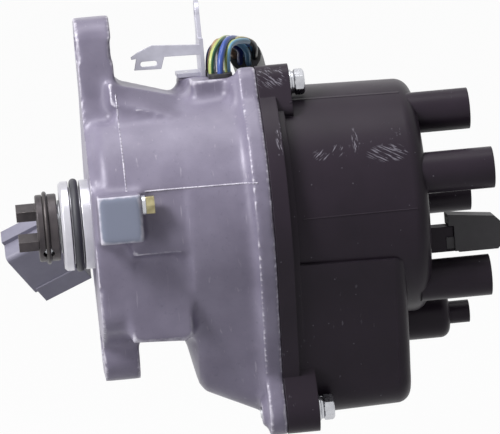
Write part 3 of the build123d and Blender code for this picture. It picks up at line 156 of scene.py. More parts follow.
@dataclass(frozen=True)
class Finish:
    """A surface finish: three shades in hex, a grain, a mottle and wear along the edges."""

    name: str
    shade: str
    deep: str                               # shade of the patches
    bright: str                             # shade of the worn edges; on the casting it also paints a highlight along them
    metallic: float = 0.0
    roughness: Pair = (0.5, 0.1)            # middle and spread
    grain: Pair = (0.5, 0.01)               # size and depth, in millimetres
    mottle: Pair = (12.0, 0.5)              # size of the patches in millimetres, and their strength
    wear: Pair = (0.4, 0.5)                 # reach of an edge in millimetres, and how bare it is; on the casting also the strength of the painted highlight there
    coat: Pair = (0.0, 0.2)                 # weight and roughness
    specular: float = 0.5
    chip_mm: float = 2.5                    # size of the breaks in a worn edge

    def place(self, tree: Tree) -> Socket:
        """Give the coordinates that the patterns read: the piece's own, in metres."""
        return add_node(tree, "TexCoord").outputs["Object"]

    def noise(self, tree: Tree, size_mm: float, detail: float = 4.0,
              stretch: Point = (1, 1, 1)) -> Socket:
        """Give a cloudy pattern whose features are size_mm across."""
        spot = add_node(tree, "Mapping", {"Vector": self.place(tree), "Scale": stretch})
        cloud = add_node(tree, "TexNoise",
                         {"Vector": spot.outputs[0], "Scale": 1 / (size_mm * MM), "Detail": detail})
        return cloud.outputs["Fac"]

    def edges(self, tree: Tree) -> tuple[Socket, Socket]:
        """Give a normal rounded at the edges, and how much an edge is near, from 0 to 1."""
        soft = add_node(tree, "Bevel", {"Radius": self.wear[0] * MM}, samples=6)
        flat = add_node(tree, "NewGeometry")
        match = add_node(tree, "VectorMath", {0: soft.outputs[0], 1: flat.outputs["Normal"]},
                         operation="DOT_PRODUCT")
        return soft.outputs[0], ranged(tree, match.outputs["Value"], 0.995, 0.8)

    def colour(self, tree: Tree) -> Socket:
        """Give the base colour before wear: the shade, with patches of the deep one."""
        size_mm, strength = self.mottle
        patches = ranged(tree, self.noise(tree, size_mm), 0.35, 0.7, strength)
        return mixed(tree, patches, linear(self.shade), self.deep)

    def height(self, tree: Tree) -> Socket:
        """Give the height pattern for the bump, from 0 to 1."""
        return self.noise(tree, self.grain[0], 3.0)

    def build(self) -> bpy.types.Material:
        """Make the material, or give the one already made.

        Returns:
            The material.
        """
        name = f"{self.name}_finish"
        known = bpy.data.materials.get(name)
        if known:
            return known
        material = bpy.data.materials.new(name)
        material.use_nodes = True
        tree = material.node_tree
        shader = tree.nodes["Principled BSDF"]
        rounded, near = self.edges(tree)
        broken = computed(tree, Sum.TIMES, near, self.noise(tree, self.chip_mm, 5.0))
        # On the casting the bright edges are partly rubbed metal and partly a painted highlight.
        wear_and_highlight = ranged(tree, broken, 0.2, 0.6, self.wear[1])
        base = mixed(tree, wear_and_highlight, self.colour(tree), self.bright)
        middle, spread = self.roughness
        gloss = ranged(tree, self.noise(tree, self.mottle[0] * 0.4), 0.0, 1.0, middle + spread,
                       max(middle - spread, 0.05))
        bump = add_node(tree, "Bump", {"Height": self.height(tree), "Distance": self.grain[1] * MM,
                                       "Normal": rounded})
        tree.links.new(base, shader.inputs["Base Color"])
        tree.links.new(gloss, shader.inputs["Roughness"])
        tree.links.new(bump.outputs[0], shader.inputs["Normal"])
        shader.inputs["Metallic"].default_value = self.metallic
        shader.inputs["Specular IOR Level"].default_value = self.specular
        shader.inputs["Coat Weight"].default_value = self.coat[0]
        shader.inputs["Coat Roughness"].default_value = self.coat[1]
        return material


@dataclass(frozen=True)
class CastFinish(Finish):
    """Die-cast metal: a pebbled skin, flow marks, painted shade in the inner corners, rubbed edges that also
    carry a painted highlight, and one painted flat.
    """

    pit_mm: float = 1.6
    pits: float = 0.4
    scratch_mm: float = 1.3
    scratches: float = 0.22
    # painted shade: the colour that the inner corners darken towards
    painted_corner_shade: str = "#4C4753"
    flat_shade: str = "#8F95A9"    # paint on the flat that lies beyond flat_y_mm
    flat_y_mm: float = -49.3

    def edges(self, tree: Tree) -> tuple[Socket, Socket]:
        """Give the plain normal, and how strongly the skin bends outwards, from 0 to 1."""
        shape = add_node(tree, "NewGeometry")
        # The outer edges found here are brightened in build, partly as wear and partly as a painted
        # highlight.
        return shape.outputs["Normal"], ranged(tree, shape.outputs["Pointiness"], 0.512, 0.545)

    def colour(self, tree: Tree) -> Socket:
        """Give patches, pits, painted shade in the inner corners and the painted flat."""
        base = super().colour(tree)
        specks = ranged(tree, self.noise(tree, self.pit_mm, 6.0), 0.62, 0.75, self.pits)
        base = mixed(tree, specks, base, self.deep)
        line = self.noise(tree, self.scratch_mm, 3.0, (1.0, 0.5, 0.08))
        scratch = ranged(tree, line, 0.66, 0.76, self.scratches)
        base = mixed(tree, scratch, base, self.bright)
        bend = add_node(tree, "NewGeometry").outputs["Pointiness"]
        # Painted shade: where the skin bends inwards, it darkens towards the corner colour.
        painted_shade_share = ranged(tree, bend, 0.485, 0.43, 0.6)
        base = mixed(tree, painted_shade_share, base, self.painted_corner_shade)
        depth = add_node(tree, "SeparateXYZ", {0: self.place(tree)}).outputs["Y"]
        flat = computed(tree, Sum.BELOW, depth, self.flat_y_mm * MM)
        return mixed(tree, flat, base, self.flat_shade)


@dataclass(frozen=True)
class Scuff:
    """One patch of fine parallel scratches: where it is, how far it reaches and its lean in the X-Z plane."""

    centre_mm: Point
    reach_mm: Point
    lean: float = 35.0


@dataclass(frozen=True)
class MouldedFinish(Finish):
    """Moulded plastic that handling has scuffed with fine pale scratches."""

    scratch: str = "#8D8A95"
    scratches: float = 0.35
    scuffs: tuple[Scuff, ...] = ()
    scratch_mm: float = 1.1
    patch_mm: float = 14.0        # size of the areas that scratches keep to
    dust_mm: float = 5.0          # mean distance between specks of dust
    speck: float = 0.055          # a speck's radius as a share of that distance
    scuff_mm: float = 0.4         # width of one scratch in a scuff

    def hatch(self, tree: Tree, scuff: Scuff) -> Socket:
        """Give one scuff: scratches along its lean inside a ball that fades at its rim, from 0 to 1."""
        spot = add_node(tree, "Mapping",
                        {"Vector": self.place(tree), "Location": tuple(c * MM for c in scuff.centre_mm),
                         "Scale": tuple(c * MM for c in scuff.reach_mm)}, vector_type="TEXTURE")
        ball = add_node(tree, "TexGradient", {"Vector": spot.outputs[0]}, gradient_type="SPHERICAL")
        inside = ranged(tree, ball.outputs["Fac"], 0.05, 0.35)
        leaning = add_node(tree, "Mapping",
                           {"Vector": self.place(tree), "Rotation": (0.0, math.radians(scuff.lean), 0.0)})
        drawn = add_node(tree, "Mapping", {"Vector": leaning.outputs[0], "Scale": (1.0, 0.3, 0.07)})
        lines = add_node(tree, "TexNoise",
                         {"Vector": drawn.outputs[0], "Scale": 1 / (self.scuff_mm * MM), "Detail": 2.0})
        return computed(tree, Sum.TIMES, inside, ranged(tree, lines.outputs["Fac"], 0.54, 0.64, 0.7))

    def colour(self, tree: Tree) -> Socket:
        """Give the moulding's colour with specks of dust, long fine scratches and the scuffed patches."""
        result = super().colour(tree)
        line = self.noise(tree, self.scratch_mm, 2.0, (1.0, 1.0, 0.06))
        patch = self.noise(tree, self.patch_mm, 2.0)
        mark = ranged(tree, computed(tree, Sum.TIMES, line, patch), 0.43, 0.5, self.scratches)
        result = mixed(tree, mark, result, self.scratch)
        dust = add_node(tree, "TexVoronoi", {"Vector": self.place(tree), "Scale": 1 / (self.dust_mm * MM)})
        specks = computed(tree, Sum.BELOW, dust.outputs["Distance"], self.speck)
        some = computed(tree, Sum.TIMES, specks, self.scratches)
        result = mixed(tree, some, result, self.scratch)
        for scuff in self.scuffs:
            result = mixed(tree, self.hatch(tree, scuff), result, self.scratch)
        return result


@dataclass(frozen=True)
class TurnedFinish(Finish):
    """Turned metal: fine rings left by the tool round the X axis."""

    feed_mm: float = 0.45         # coarser than the real feed of 0.15 mm, which would not show

    def height(self, tree: Tree) -> Socket:
        """Give rings one feed apart along X."""
        return add_node(tree, "TexWave",
                        {"Vector": self.place(tree), "Scale": 0.314 / (self.feed_mm * MM), "Distortion": 0.4},
                        bands_direction="X").outputs["Fac"]


@dataclass(frozen=True)
class StripedFinish(Finish):
    """Wire insulation with one coloured tracer stripe along it."""

    stripe: str = "#FFFFFF"
    stripe_share: float = 0.17

    def colour(self, tree: Tree) -> Socket:
        """Give the insulation's colour, with the stripe on part of the way round."""
        around = add_node(tree, "SeparateXYZ", {0: add_node(tree, "TexCoord").outputs["UV"]}).outputs["Y"]
        on = computed(tree, Sum.BELOW, around, self.stripe_share)
        return mixed(tree, on, super().colour(tree), self.stripe)


# Die-cast aluminium, shot-blasted and lightly oxidised: dull violet grey, brighter at its outer edges, partly
# where it is rubbed and partly as a painted highlight.
CAST_ALUMINIUM = CastFinish(
    "cast_aluminium", "#8E889C", "#706A7D", "#E2DEEA", metallic=0.05, roughness=(0.36, 0.08),
    grain=(0.7, 0.03), mottle=(14.0, 0.6), wear=(0.8, 0.85), specular=0.3)
# Turned aluminium: the same metal with its skin cut away, bright, with fine rings.
TURNED_ALUMINIUM = TurnedFinish(
    "turned_aluminium", "#D6D5DC", "#B2B1BA", "#F2F2F5", metallic=0.8, roughness=(0.3, 0.06),
    grain=(0.45, 0.006), mottle=(6.0, 0.4), wear=(0.3, 0.5))
# Glass-filled polyester, compression moulded: near black with a violet cast, satin, scuffed grey.
POLYESTER = MouldedFinish(
    "glass_filled_polyester", "#322A34", "#262028", "#575060", roughness=(0.38, 0.06), grain=(0.9, 0.006),
    mottle=(18.0, 0.6), wear=(0.6, 0.3), specular=0.15, scratch="#9A96A2", scratches=0.3, scuffs=(
        Scuff((66.7, -21.2, 48.0), (7.0, 9.0, 4.5), 50.0),
        Scuff((104.5, -37.1, 19.5), (8.5, 7.0, 3.6), 60.0),
        Scuff((81.1, -37.0, 21.0), (3.4, 6.0, 2.2), -50.0),
        Scuff((87.1, -36.4, 21.8), (2.6, 6.0, 2.4), -40.0),
        Scuff((93.6, -34.1, 24.8), (1.3, 6.0, 6.0), 8.0),
        Scuff((67.2, -38.9, 28.4), (1.8, 8.0, 7.0), 15.0),
    ))
# Zinc-plated steel: bright, cool silver with faint blue patches.
ZINC_STEEL = Finish(
    "zinc_plated_steel", "#C9CACF", "#9B9CA3", "#F0F0F3", metallic=1.0, roughness=(0.28, 0.08),
    grain=(0.4, 0.004), mottle=(3.0, 0.5), wear=(0.25, 0.5))
# Zinc-plated sheet: the same plating on rolled sheet, duller and more even.
ZINC_SHEET = Finish(
    "zinc_plated_sheet", "#C2C1CE", "#9A98A6", "#E0DFE8", metallic=0.8, roughness=(0.4, 0.08),
    grain=(0.6, 0.006), mottle=(6.0, 0.5), wear=(0.3, 0.5))
# Yellow chromated zinc: straw-coloured metal.
YELLOW_ZINC = Finish(
    "yellow_chromated_zinc", "#A9A07C", "#7E7554", "#DAD3B4", metallic=0.9, roughness=(0.32, 0.08),
    grain=(0.4, 0.004), mottle=(2.0, 0.6), wear=(0.4, 0.5))
# Sintered steel, steam treated and oiled: dark, warm grey with rubbed corners.
SINTERED_STEEL = Finish(
    "sintered_steel", "#4E494B", "#353135", "#A39E9C", metallic=0.7, roughness=(0.42, 0.1),
    grain=(0.35, 0.01), mottle=(4.0, 0.7), wear=(0.35, 0.8))
# Ground steel: bright and smooth.
GROUND_STEEL = Finish(
    "ground_steel", "#BDBFC4", "#93959A", "#E4E5E8", metallic=1.0, roughness=(0.22, 0.05),
    grain=(0.3, 0.002), mottle=(5.0, 0.4), wear=(0.3, 0.5))
# Pressed mild steel with a thin zinc skin: duller, even grey.
PRESSED_STEEL = Finish(
    "pressed_steel", "#A7A8AB", "#85868A", "#CFD0D3", metallic=0.95, roughness=(0.35, 0.06),
    grain=(0.5, 0.004), mottle=(6.0, 0.5), wear=(0.3, 0.5))
# Hard-drawn spring wire: smooth dark steel.
SPRING_WIRE = Finish(
    "spring_wire", "#4E4A4A", "#353232", "#7D7878", metallic=0.8, roughness=(0.38, 0.05),
    grain=(0.3, 0.002), mottle=(3.0, 0.4), wear=(0.15, 0.5))
# Sintered bronze, bored: warm, porous.
BRONZE = Finish(
    "sintered_bronze", "#A9814F", "#7C5C35", "#D0A873", metallic=1.0, roughness=(0.38, 0.08),
    grain=(0.3, 0.006), mottle=(3.0, 0.5), wear=(0.2, 0.5))
# Stamped brass: yellow metal.
BRASS = Finish(
    "stamped_brass", "#B79A5A", "#8E743C", "#DDC48A", metallic=1.0, roughness=(0.3, 0.06),
    grain=(0.3, 0.003), mottle=(3.0, 0.4), wear=(0.2, 0.5))
# Tin-plated brass: soft silver.
TINNED_BRASS = Finish(
    "tinned_brass", "#C5C5BE", "#9C9C96", "#E2E2DC", metallic=1.0, roughness=(0.3, 0.06),
    grain=(0.3, 0.002), mottle=(3.0, 0.4), wear=(0.15, 0.5))
# Die-cast terminal alloy: pale grey.
TERMINAL_ALLOY = Finish(
    "die_cast_terminal", "#C8C9CC", "#A0A1A5", "#E6E7EA", metallic=0.95, roughness=(0.36, 0.06),
    grain=(0.3, 0.004), mottle=(4.0, 0.4), wear=(0.25, 0.5))
# Nitrile rubber: soft dark grey with a dull bloom.
NITRILE = Finish(
    "nitrile_rubber", "#3B3B42", "#29292E", "#55555D", roughness=(0.5, 0.08), grain=(0.4, 0.006),
    mottle=(4.0, 0.5), wear=(0.3, 0.3))
# Moulded rubber of the grommet and the breather: black, matt.
BLACK_RUBBER = Finish(
    "black_rubber", "#2A282C", "#1D1B1F", "#46434A", roughness=(0.55, 0.08), grain=(0.5, 0.012),
    mottle=(5.0, 0.5), wear=(0.4, 0.3))
# Nylon 66, moulded grey: low sheen, paler where it has been handled.
GREY_NYLON = MouldedFinish(
    "grey_nylon", "#8A8899", "#716F80", "#A4A2B0", roughness=(0.45, 0.08), grain=(0.5, 0.01),
    mottle=(9.0, 0.5), wear=(0.4, 0.5), scratch="#A5A3B2", scratches=0.2)
# Phenolic moulding: brown, dull.
PHENOLIC = Finish(
    "brown_phenolic", "#6B4A33", "#4F3524", "#8C6B52", roughness=(0.45, 0.08), grain=(0.5, 0.008),
    mottle=(6.0, 0.5), wear=(0.4, 0.3))
# Potted epoxy and moulded covers inside: black.
EPOXY = Finish(
    "potted_epoxy", "#1E1E20", "#151517", "#35353A", roughness=(0.3, 0.06), grain=(0.8, 0.01),
    mottle=(8.0, 0.4), wear=(0.4, 0.3))
# Varnished laminations: dark steel in thin leaves.
LAMINATIONS = Finish(
    "varnished_laminations", "#3C3D40", "#2A2B2E", "#606266", metallic=0.6, roughness=(0.4, 0.06),
    grain=(0.6, 0.01), mottle=(4.0, 0.4), wear=(0.3, 0.5))
# Pressed carbon: dark grey, dull.
CARBON = Finish(
    "pressed_carbon", "#2F2F31", "#222224", "#47474A", metallic=0.1, roughness=(0.5, 0.08),
    grain=(0.3, 0.004), mottle=(2.0, 0.4), wear=(0.2, 0.5))
# Soft PVC sleeve: black, satin, with slow ripples from bending.
PVC_SLEEVE = Finish(
    "soft_pvc_sleeve", "#1B1A1E", "#131215", "#333138", roughness=(0.42, 0.06), grain=(3.0, 0.05),
    mottle=(9.0, 0.5), wear=(0.3, 0.2))


def insulation(name: str, shade: str, deep: str, bright: str, stripe: str | None = None) -> Finish:
    """Give the finish of one PVC-insulated wire, with a tracer stripe where it has one."""
    # Extruded PVC: smooth, satin, slightly translucent to the eye.
    facts: dict[str, Any] = dict(
        name=f"pvc_{name}", shade=shade, deep=deep, bright=bright, roughness=(0.32, 0.05), grain=(0.8, 0.004),
        mottle=(6.0, 0.4), wear=(0.1, 0.0), coat=(0.1, 0.2))
    return StripedFinish(stripe=stripe, **facts) if stripe else Finish(**facts)


NODE_FINISHES: dict[str, Finish] = {
    "nose_bush": BRONZE, "nose_oil_seal": NITRILE, "nose_o_ring": NITRILE,
    "bearing_outer_ring": GROUND_STEEL, "bearing_inner_ring": GROUND_STEEL, "bearing_balls": GROUND_STEEL,
    "bearing_cage": PRESSED_STEEL, "bearing_retainer": PRESSED_STEEL, "bowl_screws": ZINC_STEEL,
    "shaft": GROUND_STEEL, "coupling_pin": GROUND_STEEL, "coupling": SINTERED_STEEL,
    "coupling_clip": SPRING_WIRE, "thrust_washer": PRESSED_STEEL, "crank_reluctor": SINTERED_STEEL,
    "tdc_reluctor": SINTERED_STEEL, "cylinder_reluctor": SINTERED_STEEL, "crank_pickup": EPOXY,
    "tdc_pickup": EPOXY, "cylinder_pickup": EPOXY, "pickup_base": PRESSED_STEEL, "igniter_module": EPOXY,
    "noise_condenser": ZINC_SHEET,
    "coil_core": LAMINATIONS, "coil_body": EPOXY, "coil_contact": BRASS, "coil_screws": ZINC_STEEL,
    "dust_cover": EPOXY, "cap_seal": BLACK_RUBBER, "rotor": PHENOLIC, "rotor_blade": BRASS,
    "rotor_screw": ZINC_STEEL, "cap": POLYESTER, "cap_vent": BLACK_RUBBER, "hv_link": BRASS,
    "carbon_brush": CARBON, "ground_screw": YELLOW_ZINC, "ground_washer": ZINC_STEEL,
    "bracket": ZINC_SHEET, "bracket_screw": ZINC_STEEL, "harness_grommet": BLACK_RUBBER,
    "connector_shell": GREY_NYLON, "connector_pins": TINNED_BRASS,
    **{f"cap_terminal_{number}": TERMINAL_ALLOY for number in range(1, 5)},
}


# ---------------------------------------------------------------- surfaces


def grid_mesh(name: str, points: np.ndarray, round_rows: bool = False,
              crease: float = 35.0) -> bpy.types.Mesh:
    """Join a grid of points, closed across each row, into one mesh.

    Point (i, j) joins (i + 1, j), (i, j + 1) and the one beyond both; the last j joins the first. With
    round_rows the last row joins the first row too, as on a ring; without it each end row is one flat face.

    Args:
        name: The mesh's name.
        points: Places in metres, as rows by columns by three.
        round_rows: Whether the rows close on themselves.
        crease: Edges that bend more than this, in degrees, stay sharp.

    Returns:
        The mesh.
    """
    rows, columns = points.shape[:2]
    row = np.arange(rows if round_rows else rows - 1)[:, None]
    column = np.arange(columns)[None, :]
    beyond, beside = (row + 1) % rows, (column + 1) % columns
    faces = np.stack([row * columns + column, beyond * columns + column,
                      beyond * columns + beside, row * columns + beside], axis=-1).reshape(-1, 4).tolist()
    if not round_rows:
        faces += [np.arange(columns).tolist(), (np.arange(columns)[::-1] + (rows - 1) * columns).tolist()]
    mesh = bpy.data.meshes.new(name)
    mesh.from_pydata(points.reshape(-1, 3).tolist(), [], faces)
    mesh.shade_smooth()
    mesh.set_sharp_from_angle(angle=math.radians(crease))
    return mesh


def join_meshes(name: str, meshes: Sequence[bpy.types.Mesh]) -> bpy.types.Mesh:
    """Put several meshes into one, with their faces turned outwards."""
    form = bmesh.new()
    for mesh in meshes:
        form.from_mesh(mesh)
    bmesh.ops.recalc_face_normals(form, faces=form.faces)
    joined = bpy.data.meshes.new(name)
    form.to_mesh(joined)
    form.free()
    return joined


def new_object(name: str, data: bpy.types.ID) -> bpy.types.Object:
    """Put an object with this data in the scene."""
    made = bpy.data.objects.new(name, data)
    bpy.context.scene.collection.objects.link(made)
    return made


def add_piece(mesh: bpy.types.Mesh, finish: Finish, *stands_for: str) -> bpy.types.Object:
    """Show a mesh as a piece that rides on the housing and stands for the named solids."""
    piece = new_object(mesh.name, mesh)
    mesh.materials.append(finish.build())
    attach(piece, HOUSING)
    if stands_for:
        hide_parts(*stands_for)
    LOG.info("%s has %d faces in %s", mesh.name, len(mesh.polygons), finish.name)
    return piece


def finished(piece: bpy.types.Object) -> bpy.types.Mesh:
    """Give the mesh that a piece's modifiers make."""
    graph = bpy.context.evaluated_depsgraph_get()
    return bpy.data.meshes.new_from_object(piece.evaluated_get(graph))


def turned(stations: Sequence[Pair], centre: Pair, columns: int,
           radius_of: Any = None) -> np.ndarray:
    """Turn a profile round an axis along X.

    Point (i, j) lies at x_i along the axis and at radius r_i from it, at the angle 2 pi j / columns.
    radius_of may change the radius by station and angle.

    Args:
        stations: The profile's x and radius, in millimetres.
        centre: The axis's Y and Z, in millimetres.
        columns: Points round the axis.
        radius_of: A function of x, radius and angle that gives the radius.

    Returns:
        The grid of places, in metres.
    """
    along, radius = np.array(stations, float).T
    angle = np.linspace(0, 2 * np.pi, columns, endpoint=False)
    along, radius, angle = along[:, None], radius[:, None], angle[None, :]
    if radius_of:
        radius = radius_of(along, radius, angle)
    across, up = centre[0] + radius * np.cos(angle), centre[1] + radius * np.sin(angle)
    return np.stack([along + 0 * angle, across, up], axis=-1) * MM


@dataclass
class Casting:
    """The die-cast housing: soft inner corners, the top screw's long boss and the turned spigot."""

    cell: float = 0.95 * MM
    fillet: float = 2.1 * MM
    smoothing: int = 2
    spigot_r: float = 16.0
    spigot_bore_r: float = 8.5
    spigot_front_x: float = -10.7
    chamfer: float = 0.8
    groove: Point = (-7.2, -3.2, 13.7)
    boss_x: Pair = (53.0, 58.0)
    boss_top: Point = (-15.2, 44.6, 4.8)      # Y, Z and radius
    boss_foot: Point = (-21.5, 36.5, 3.0)
    boss_columns: int = 48
    ear_x: Pair = (0.05, 12.0)
    ear_web: tuple[Pair, ...] = (         # Y and Z of the near edge that closes the slot
        (-13.5, 56.8), (-13.25, 60.0), (-12.95, 63.5), (-12.6, 66.6), (-9.0, 67.2), (-8.5, 56.8))
    pocket: tuple[Pair, ...] = (          # X and Z of the pocket under the upper web
        (11.5, 36.0), (11.5, 42.5), (22.0, 42.0), (34.0, 38.8), (34.0, 36.0))
    pocket_near: Point = (-19.2, 0.42, 42.5)   # Y at the top, slope, and Z of the top
    pocket_back: float = -8.0

    def boss(self) -> bpy.types.Mesh:
        """Make the long boss: a circle that slides from the top to the foot while it shrinks.

        Each outline point is the one farthest out in its direction: the top circle's where that direction
        points up the boss, the foot circle's where it points down.
        """
        angle = np.linspace(0, 2 * np.pi, self.boss_columns, endpoint=False)
        out = np.stack([np.cos(angle), np.sin(angle)], axis=-1)
        top, foot = (np.array(c[:2]) + c[2] * out for c in (self.boss_top, self.boss_foot))
        far = (np.sum(top * out, axis=-1) > np.sum(foot * out, axis=-1))[:, None]
        outline = np.where(far, top, foot)
        middle = outline.mean(axis=0)
        rows = [np.c_[np.full(self.boss_columns, x), middle + (outline - middle) * size]
                for x, size in ((self.boss_x[0], 0.9), (self.boss_x[0] + 0.6, 1.0), (self.boss_x[1], 1.0))]
        return grid_mesh("long_boss", np.stack(rows) * MM)

    def fillings(self) -> list[bpy.types.Mesh]:
        """Make the two fillings that shape the near side: the ear's closed edge and the pocket's floor.

        The first is the edge's outline drawn along X. The second is the pocket's outline drawn along Y. Its
        near face comes nearer by the slope times the way down, from the web's face to the bowl's.
        """
        edge = np.array([[(x, y, z) for y, z in self.ear_web] for x in self.ear_x])
        across, up = np.array(self.pocket).T
        start, slope, top = self.pocket_near
        faces = start - slope * (top - up), np.full(len(up), self.pocket_back)
        floor = np.stack([np.stack([across, depth, up], axis=-1) for depth in faces])
        return [grid_mesh("ear_edge", edge * MM), grid_mesh("pocket_floor", floor * MM)]

    def recast(self, rough: bpy.types.Mesh, moves: Sequence[float], softening: int) -> bpy.types.Mesh:
        """Rebuild a closed mesh in even cells, after each move along its normals, and soften it.

        Args:
            rough: The mesh to rebuild.
            moves: How far each round swells the mesh, in metres; less than nothing shrinks it.
            softening: Rounds of averaging each point with its neighbours.

        Returns:
            The new mesh.
        """
        blank = new_object(rough.name, rough)
        for move in moves:
            cells = blank.modifiers.new("cells", "REMESH")
            cells.mode = "VOXEL"
            cells.voxel_size = self.cell
            swell = blank.modifiers.new("swell", "DISPLACE")
            swell.mid_level = 0.0
            swell.strength = move
        soften = blank.modifiers.new("soften", "SMOOTH")
        soften.factor = 0.5
        soften.iterations = softening
        mesh = finished(blank)
        bpy.data.objects.remove(blank)
        return mesh

    def skin(self) -> bpy.types.Object:
        """Cast the solid again with soft inner corners and slightly rounded outer ones.

        The solid is cut off at the flange's face, where the turned spigot takes over. A copy is swollen by
        the fillet's radius and shrunk back, which rounds its inner corners, and is then joined to the solid.
        """
        form = bmesh.new()
        form.from_mesh(bpy.data.objects[HOUSING].data)
        bmesh.ops.remove_doubles(form, verts=form.verts, dist=1e-6)
        everything = form.verts[:] + form.edges[:] + form.faces[:]
        bmesh.ops.bisect_plane(form, geom=everything, dist=1e-7, plane_co=(-0.02 * MM, 0, 0),
                               plane_no=(1, 0, 0), clear_inner=True)
        bmesh.ops.bridge_loops(form, edges=[e for e in form.edges if e.is_boundary])
        for filling in (self.boss(), *self.fillings()):
            form.from_mesh(filling)
        bmesh.ops.recalc_face_normals(form, faces=form.faces)
        rough = bpy.data.meshes.new("rough_casting")
        form.to_mesh(rough)
        form.from_mesh(self.recast(rough.copy(), (self.fillet, -self.fillet), 0))
        form.to_mesh(rough)
        form.free()
        mesh = self.recast(rough, (0.0,), self.smoothing)
        mesh.name = "cast_housing"
        mesh.materials.clear()
        mesh.shade_smooth()
        return add_piece(mesh, CAST_ALUMINIUM, HOUSING)

    def spigot(self) -> None:
        """Turn the spigot: a ring whose profile has the bore, two chamfers and the square groove."""
        low, high, deep = self.groove
        front, r, c = self.spigot_front_x, self.spigot_r, self.chamfer
        bore = self.spigot_bore_r
        profile = [(1.0, bore), (front + 0.5, bore), (front, bore + 0.5), (front, r - c - 0.1),
                   (front + 0.1, r - c), (front + c, r - 0.1), (front + c + 0.1, r),
                   (low - 0.2, r), (low, r - 0.2), (low, deep + 0.2), (low + 0.2, deep), (high - 0.2, deep),
                   (high, deep + 0.2), (high, r - 0.2), (high + 0.2, r), (1.0, r)]
        ring = grid_mesh("turned_spigot", turned(profile, (0.0, 0.0), 128), round_rows=True, crease=25.0)
        add_piece(join_meshes("turned_spigot", [ring]), TURNED_ALUMINIUM)

    def build(self) -> bpy.types.Object:
        """Make the casting and give its skin."""
        self.spigot()
        return self.skin()


@dataclass(frozen=True)
class Seam:
    """One raised line: its ends in X and Z, its height, the axis it widens along and how ragged it is."""

    name: str
    start_mm: Pair
    end_mm: Pair
    height_mm: float
    across: int = 2               # 0 for X, 2 for Z
    rough: float = 0.0


@dataclass
class Seams:
    """Fine raised lines that a mould or die leaves where its halves meet."""

    width_mm: float = 0.7
    columns: int = 5
    steps: int = 160
    start_y: float = -60.0        # nearer than every piece
    sink_mm: float = 0.05         # how far the line's edges lie in the piece
    depth_mm: float = 0.4         # how far its back lies behind its face
    casting_lines: tuple[Seam, ...] = (Seam("die_flash", (18.6, 14.3), (57.6, 14.3), 0.4, 2, 0.4),
                                       Seam("flange_flash", (12.3, 47.0), (12.3, 15.0), 0.3, 0, 0.6))
    cap_lines: tuple[Seam, ...] = (Seam("cap_seam_upper", (72.5, 39.2), (112.0, 38.4), 0.3),
                                   Seam("cap_seam_middle", (72.5, -0.3), (113.0, -0.3), 0.22))

    def lay(self, seam: Seam, target: bpy.types.Object, finish: Finish) -> None:
        """Lay one raised line on a piece, seen from the near side.

        The line is widened to columns of points across one axis and dropped on the piece along Y. The middle
        column then rises by the height, times a ragged wave along the line, and the outer ones sink a little.

        Args:
            seam: The line.
            target: The piece that carries it.
            finish: The piece's finish.
        """
        run = np.linspace(0.0, 1.0, self.steps)[:, None]
        line = (1 - run) * seam.start_mm + run * seam.end_mm
        spread = np.linspace(-0.5, 0.5, self.columns) * self.width_mm
        grid = np.zeros((len(line), self.columns, 3))
        grid[..., 0], grid[..., 1], grid[..., 2] = line[:, None, 0], self.start_y, line[:, None, 1]
        grid[..., seam.across] += spread
        flat = bpy.data.meshes.new(seam.name)
        flat.from_pydata((grid.reshape(-1, 3) * MM).tolist(), [], [])
        ghost = new_object(f"{seam.name}_guide", flat)
        drop = ghost.modifiers.new("drop", "SHRINKWRAP")
        drop.target = target
        drop.wrap_method = "PROJECT"
        drop.use_project_x = drop.use_project_z = False
        drop.use_project_y = True
        drop.use_positive_direction = True
        laid = finished(ghost)
        found = np.empty(len(laid.vertices) * 3)
        laid.vertices.foreach_get("co", found)
        bpy.data.objects.remove(ghost)
        found = found.reshape(grid.shape)
        step = np.arange(len(line))[:, None]
        wave = 1 - seam.rough * (0.5 + 0.5 * np.sin(step * 1.7) * np.sin(step * 0.61 + 1.0))
        rise = np.cos(np.linspace(-np.pi, np.pi, self.columns))[None, :] * 0.5 + 0.5
        found[..., 1] += (self.sink_mm - (seam.height_mm + self.sink_mm) * rise * wave) * MM
        back = found[:, ::-1].copy()
        back[..., 1] += self.depth_mm * MM
        mesh = grid_mesh(seam.name, np.concatenate([found, back], axis=1), crease=60.0)
        add_piece(join_meshes(seam.name, [mesh]), finish)

    def build(self, casting: bpy.types.Object, cap: bpy.types.Object) -> None:
        """Lay the casting's and the cap's lines."""
        for seam in self.casting_lines:
            self.lay(seam, casting, CAST_ALUMINIUM)
        for seam in self.cap_lines:
            self.lay(seam, cap, POLYESTER)


